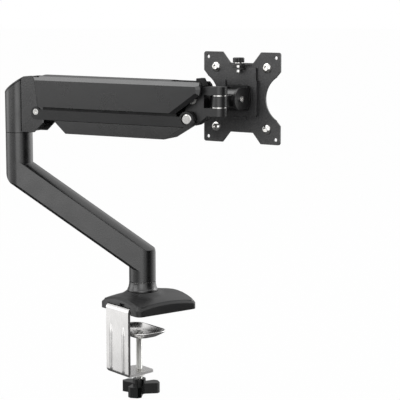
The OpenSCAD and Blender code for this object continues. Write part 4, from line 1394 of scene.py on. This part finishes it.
@dataclass
class Studio:
    """Camera, lamps, flags and cards, white surroundings and floor."""

    camera_place: Point = (1.479, -1.0575, 0.3943)
    heading: float = 52.06
    dip: float = 7.85
    lens: float = 127.0
    ambient: float = 0.3
    floor_gap: float = 0.001
    floor_reach: float = 30.0
    floor_glow: float = 0.985
    floor_shade: float = 0.9
    sky_start: Flat = (-0.5, 0.1)
    sky_end: Flat = (0.1, 1.1)
    flags: tuple[Flag, ...] = (Flag(24, 18, 34, 0.05), Flag(165, 25, 50, 0.35),
                               Flag(-44, 8, 26, 2.2), Flag(-142, 12, 26, 1.9),
                               Flag(-82, 10, 24, 0.62), Flag(95, 10, 26, 1.9))
    lamps: list[Lamp] = field(default_factory=lambda: [
        Lamp("top_lamp", (-0.45, -0.45, 1.75), (0.0, 0.0, 0.25), 1.3, 12.5),
        Lamp("left_lamp", (-0.2, -2.0, 0.8), (0.0, 0.0, 0.2), 1.1, 6),
        Lamp("rim_lamp", (0.5, 2.2, 0.7), (0.0, 0.0, 0.2), 0.9, 10),
    ])

    def add_camera(self) -> None:
        """Add the camera and make it the scene's own."""
        data = bpy.data.cameras.new("camera")
        data.lens = self.lens
        data.clip_end = 200
        camera = added("camera", data)
        camera.location = self.camera_place
        camera.rotation_euler = (math.radians(90 - self.dip), 0, math.radians(self.heading))
        bpy.context.scene.camera = camera

    def mirrored_sky(self, tree: Tree) -> Socket:
        """Add the brightness that glossy faces see: brighter above, changed at the flags.

        Args:
            tree: Node tree of the world.

        Returns:
            The brightness.
        """
        view = tree.add("TexCoord", {})["Generated"]
        height = tree.add("SeparateXYZ", {0: view})["Z"]
        glow = tree.ramp(height, self.sky_start, self.sky_end, soft=True)
        for flag in self.flags:
            turn, edge, core = map(math.radians, (flag.heading, flag.edge, flag.core))
            near = tree.add("VectorMath", {0: view, 1: (math.cos(turn), math.sin(turn), 0)},
                            operation="DOT_PRODUCT")["Value"]
            fade = tree.ramp(near, (math.cos(edge), 1), (math.cos(core), flag.shade), soft=True)
            glow = tree.times(glow, fade)
        return glow

    def light_world(self) -> None:
        """Light the scene softly, show white to the camera and the sky to glossy faces."""
        world = bpy.data.worlds.new("studio")
        bpy.context.scene.world = world
        world.use_nodes = True
        world.node_tree.nodes.clear()
        tree = Tree(world.node_tree)
        fill, sky, white = (tree.add("Background", {"Color": WHITE, "Strength": strength})[0]
                            for strength in (self.ambient, self.mirrored_sky(tree), 1))
        tree.add("OutputWorld", {"Surface": tree.by_ray(fill, sky, white)})

    def floor_material(self) -> bpy.types.Material:
        """Make a floor that the camera sees as white with a faint shadow.

        Returns:
            The material, which glossy rays pass, so that no face mirrors the floor.
        """
        graph = Graph("floor_white")
        grey = self.floor_shade
        graph.feed(graph.shader, {"Base Color": (grey, grey, grey, 1), "Roughness": grey})
        white = graph.add("Emission", {})[0]
        passing = graph.add("BsdfTransparent", {})[0]
        surface = graph.by_ray(graph.shader.outputs[0], passing, white, self.floor_glow)
        graph.feed(graph.tree.nodes["Material Output"], {"Surface": surface})
        return graph.material

    def add_floor(self) -> None:
        """Lay the floor just under the lowest point of the arm."""
        deselect_all()
        low = CAD_BOX[0][2] - self.floor_gap
        bpy.ops.mesh.primitive_circle_add(vertices=64, radius=self.floor_reach, fill_type="NGON",
                                          location=(0, 0, low))
        floor = bpy.context.object
        floor.name = "studio_floor"
        floor.data.materials.append(self.floor_material())

    def make(self) -> None:
        """Set up the whole studio."""
        bpy.context.scene.view_settings.view_transform = "Standard"
        self.add_camera()
        self.light_world()
        self.add_floor()
        for lamp in self.lamps:
            lamp.make()


def main() -> None:
    """Build the studio and every sub-assembly of the arm."""
    logging.basicConfig(level=logging.INFO, format="%(name)s: %(message)s")
    Studio().make()
    for assembly in (DeskBase(), DeskClamp(), LowerArm(), Elbow(), UpperArm(), FrontBracket(),
                     TiltHead(), ScreenPlate()):
        assembly.make()


if __name__ == "__main__":
    main()
